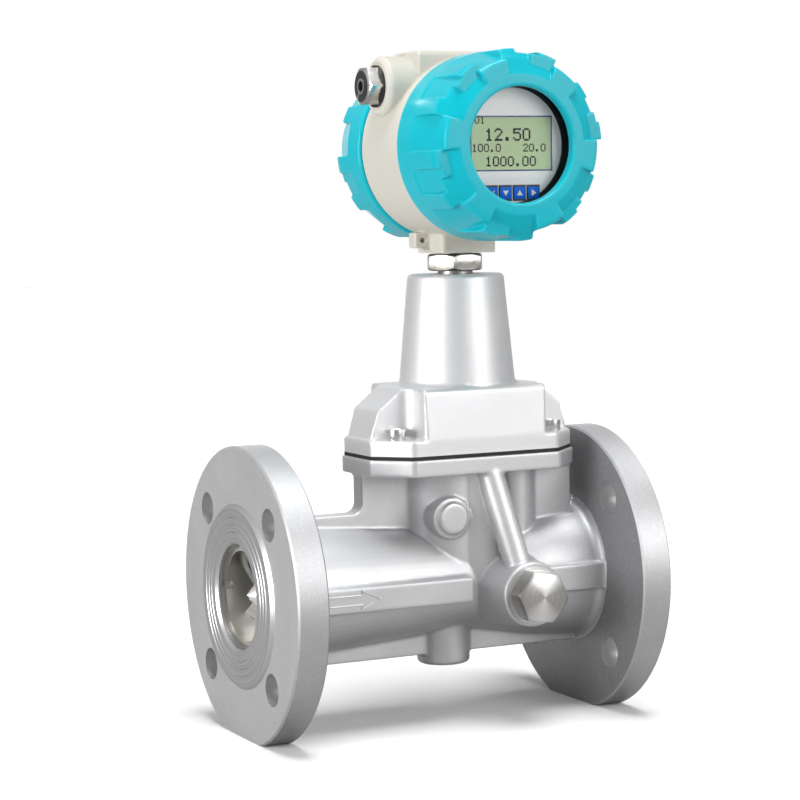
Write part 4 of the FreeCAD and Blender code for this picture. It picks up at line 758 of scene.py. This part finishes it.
def makeFloor(style):
    half = style["floorSize"] / 2
    mesh = bpy.data.meshes.new("floor")
    corners = [(-half, -half, 0), (half, -half, 0), (half, half, 0), (-half, half, 0)]
    mesh.from_pydata(corners, [], [(0, 1, 2, 3)])
    floor = bpy.data.objects.new("floor", mesh)
    scene.collection.objects.link(floor)
    material, tree, sockets = newFinish("floorPaper", {"Roughness": 0.9, "Specular IOR Level": 0.0})
    grain = useGroup(tree, sprayCoat)
    tone, dim = style["floorTone"], style["floorDim"]
    light = tone + 0.01
    paper = blendColour(tree, grain["Tone"], rgb(tone, tone, tone), rgb(light, light, light))
    rays = addNode(tree, "ShaderNodeLightPath").outputs
    # white for the camera, duller for what the metal mirrors
    tree.links.new(blendColour(tree, rays["Is Camera Ray"], rgb(dim, dim, dim), paper), sockets["Base Color"])
    glow = addNode(tree, "ShaderNodeMath", {0: rays["Is Camera Ray"], 1: style["floorGlow"]},
                   operation="MULTIPLY")
    sockets["Emission Color"].default_value = rgb(1, 1, 1)
    tree.links.new(glow.outputs[0], sockets["Emission Strength"])
    mesh.materials.append(material)


def makeWorld(style):
    world = bpy.data.worlds.new("studio")
    scene.world = world
    world.use_nodes = True
    tree = world.node_tree
    sky = tree.nodes["Background"]
    rays = addNode(tree, "ShaderNodeLightPath").outputs
    way = addNode(tree, "ShaderNodeTexCoord").outputs["Generated"]
    rise = addNode(tree, "ShaderNodeSeparateXYZ", {0: way}).outputs["Z"]
    gloss = ramp(tree, rise, style["glossFrom"], style["glossTo"], style["glossLow"], style["glossHigh"])
    seen = addNode(tree, "ShaderNodeMath", {0: rays["Is Camera Ray"], 1: rays["Is Transmission Ray"]},
                   operation="MAXIMUM").outputs[0]
    plain = addNode(tree, "ShaderNodeMix", {0: rays["Is Glossy Ray"], 2: style["ambient"], 3: gloss})
    strength = addNode(tree, "ShaderNodeMix", {0: seen, 2: plain.outputs[0], 3: 1.0})
    tree.links.new(strength.outputs[0], sky.inputs["Strength"])
    sky.inputs["Color"].default_value = rgb(1, 1, 1)


lamps = {
    "overheadSun": {"kind": "SUN", "at": (0.0, -0.12, 1.0), "power": 2.4, "spread": 34},
    "frontPanel": {"kind": "AREA", "at": (0.8, -1.65, 0.8), "power": 13.0, "size": 1.0},
    "backPanel": {"kind": "AREA", "at": (0.6, 1.9, 0.35), "power": 4.0, "size": 1.2},
    "leftPanel": {"kind": "AREA", "at": (-1.75, -0.28, 0.42), "power": 21.0, "size": 0.8},
}


def makeLamps():
    target = middle("bonnet")
    for name, style in lamps.items():
        data = bpy.data.lights.new(name, style["kind"])
        data.energy = style["power"]
        if style["kind"] == "SUN":
            data.angle = math.radians(style["spread"])
        else:
            data.size = style["size"]
        lamp = bpy.data.objects.new(name, data)
        scene.collection.objects.link(lamp)
        lamp.location = style["at"]
        aim = Vector(style["at"]) if style["kind"] == "SUN" else Vector(style["at"]) - target
        lamp.rotation_euler = aim.to_track_quat("Z", "Y").to_euler()


makeFloor(stage)
makeWorld(stage)
makeLamps()

# camera: aimed from a point around the pipe's middle; angles in degrees, lengths in mm and image pixels
cameraView = {"azimuth": -26.184, "elevation": 8.882, "distance": 1363.69, "axisHeight": 78, "yaw": 0.499,
              "pitch": 4.593, "roll": -1.08, "focalPixels": 2398.2, "imagePixels": 800, "sensor": 36,
              "sightMetres": 100}


def sightLine(azimuth, elevation):
    turn, lift = math.radians(azimuth), math.radians(elevation)
    return Vector((math.sin(turn) * math.cos(lift), -math.cos(turn) * math.cos(lift), math.sin(lift)))


def makeCamera(view):
    data = bpy.data.cameras.new("camera")
    data.sensor_width = view["sensor"]
    data.lens = view["focalPixels"] * view["sensor"] / view["imagePixels"]
    data.clip_end = view["sightMetres"]
    camera = bpy.data.objects.new("camera", data)
    scene.collection.objects.link(camera)
    station = sightLine(view["azimuth"], view["elevation"]) * view["distance"] * mm
    station.z += view["axisHeight"] * mm
    backward = sightLine(view["azimuth"] + view["yaw"], view["pitch"])
    side = Vector((0, 0, 1)).cross(backward).normalized()
    above = backward.cross(side)
    turn = Matrix((side, above, backward)).transposed().to_4x4()
    tilt = Matrix.Rotation(math.radians(view["roll"]), 4, "Z")
    camera.matrix_world = Matrix.Translation(station) @ turn @ tilt
    scene.camera = camera


makeCamera(cameraView)
scene.view_settings.view_transform = "Standard"
print("scene ready")
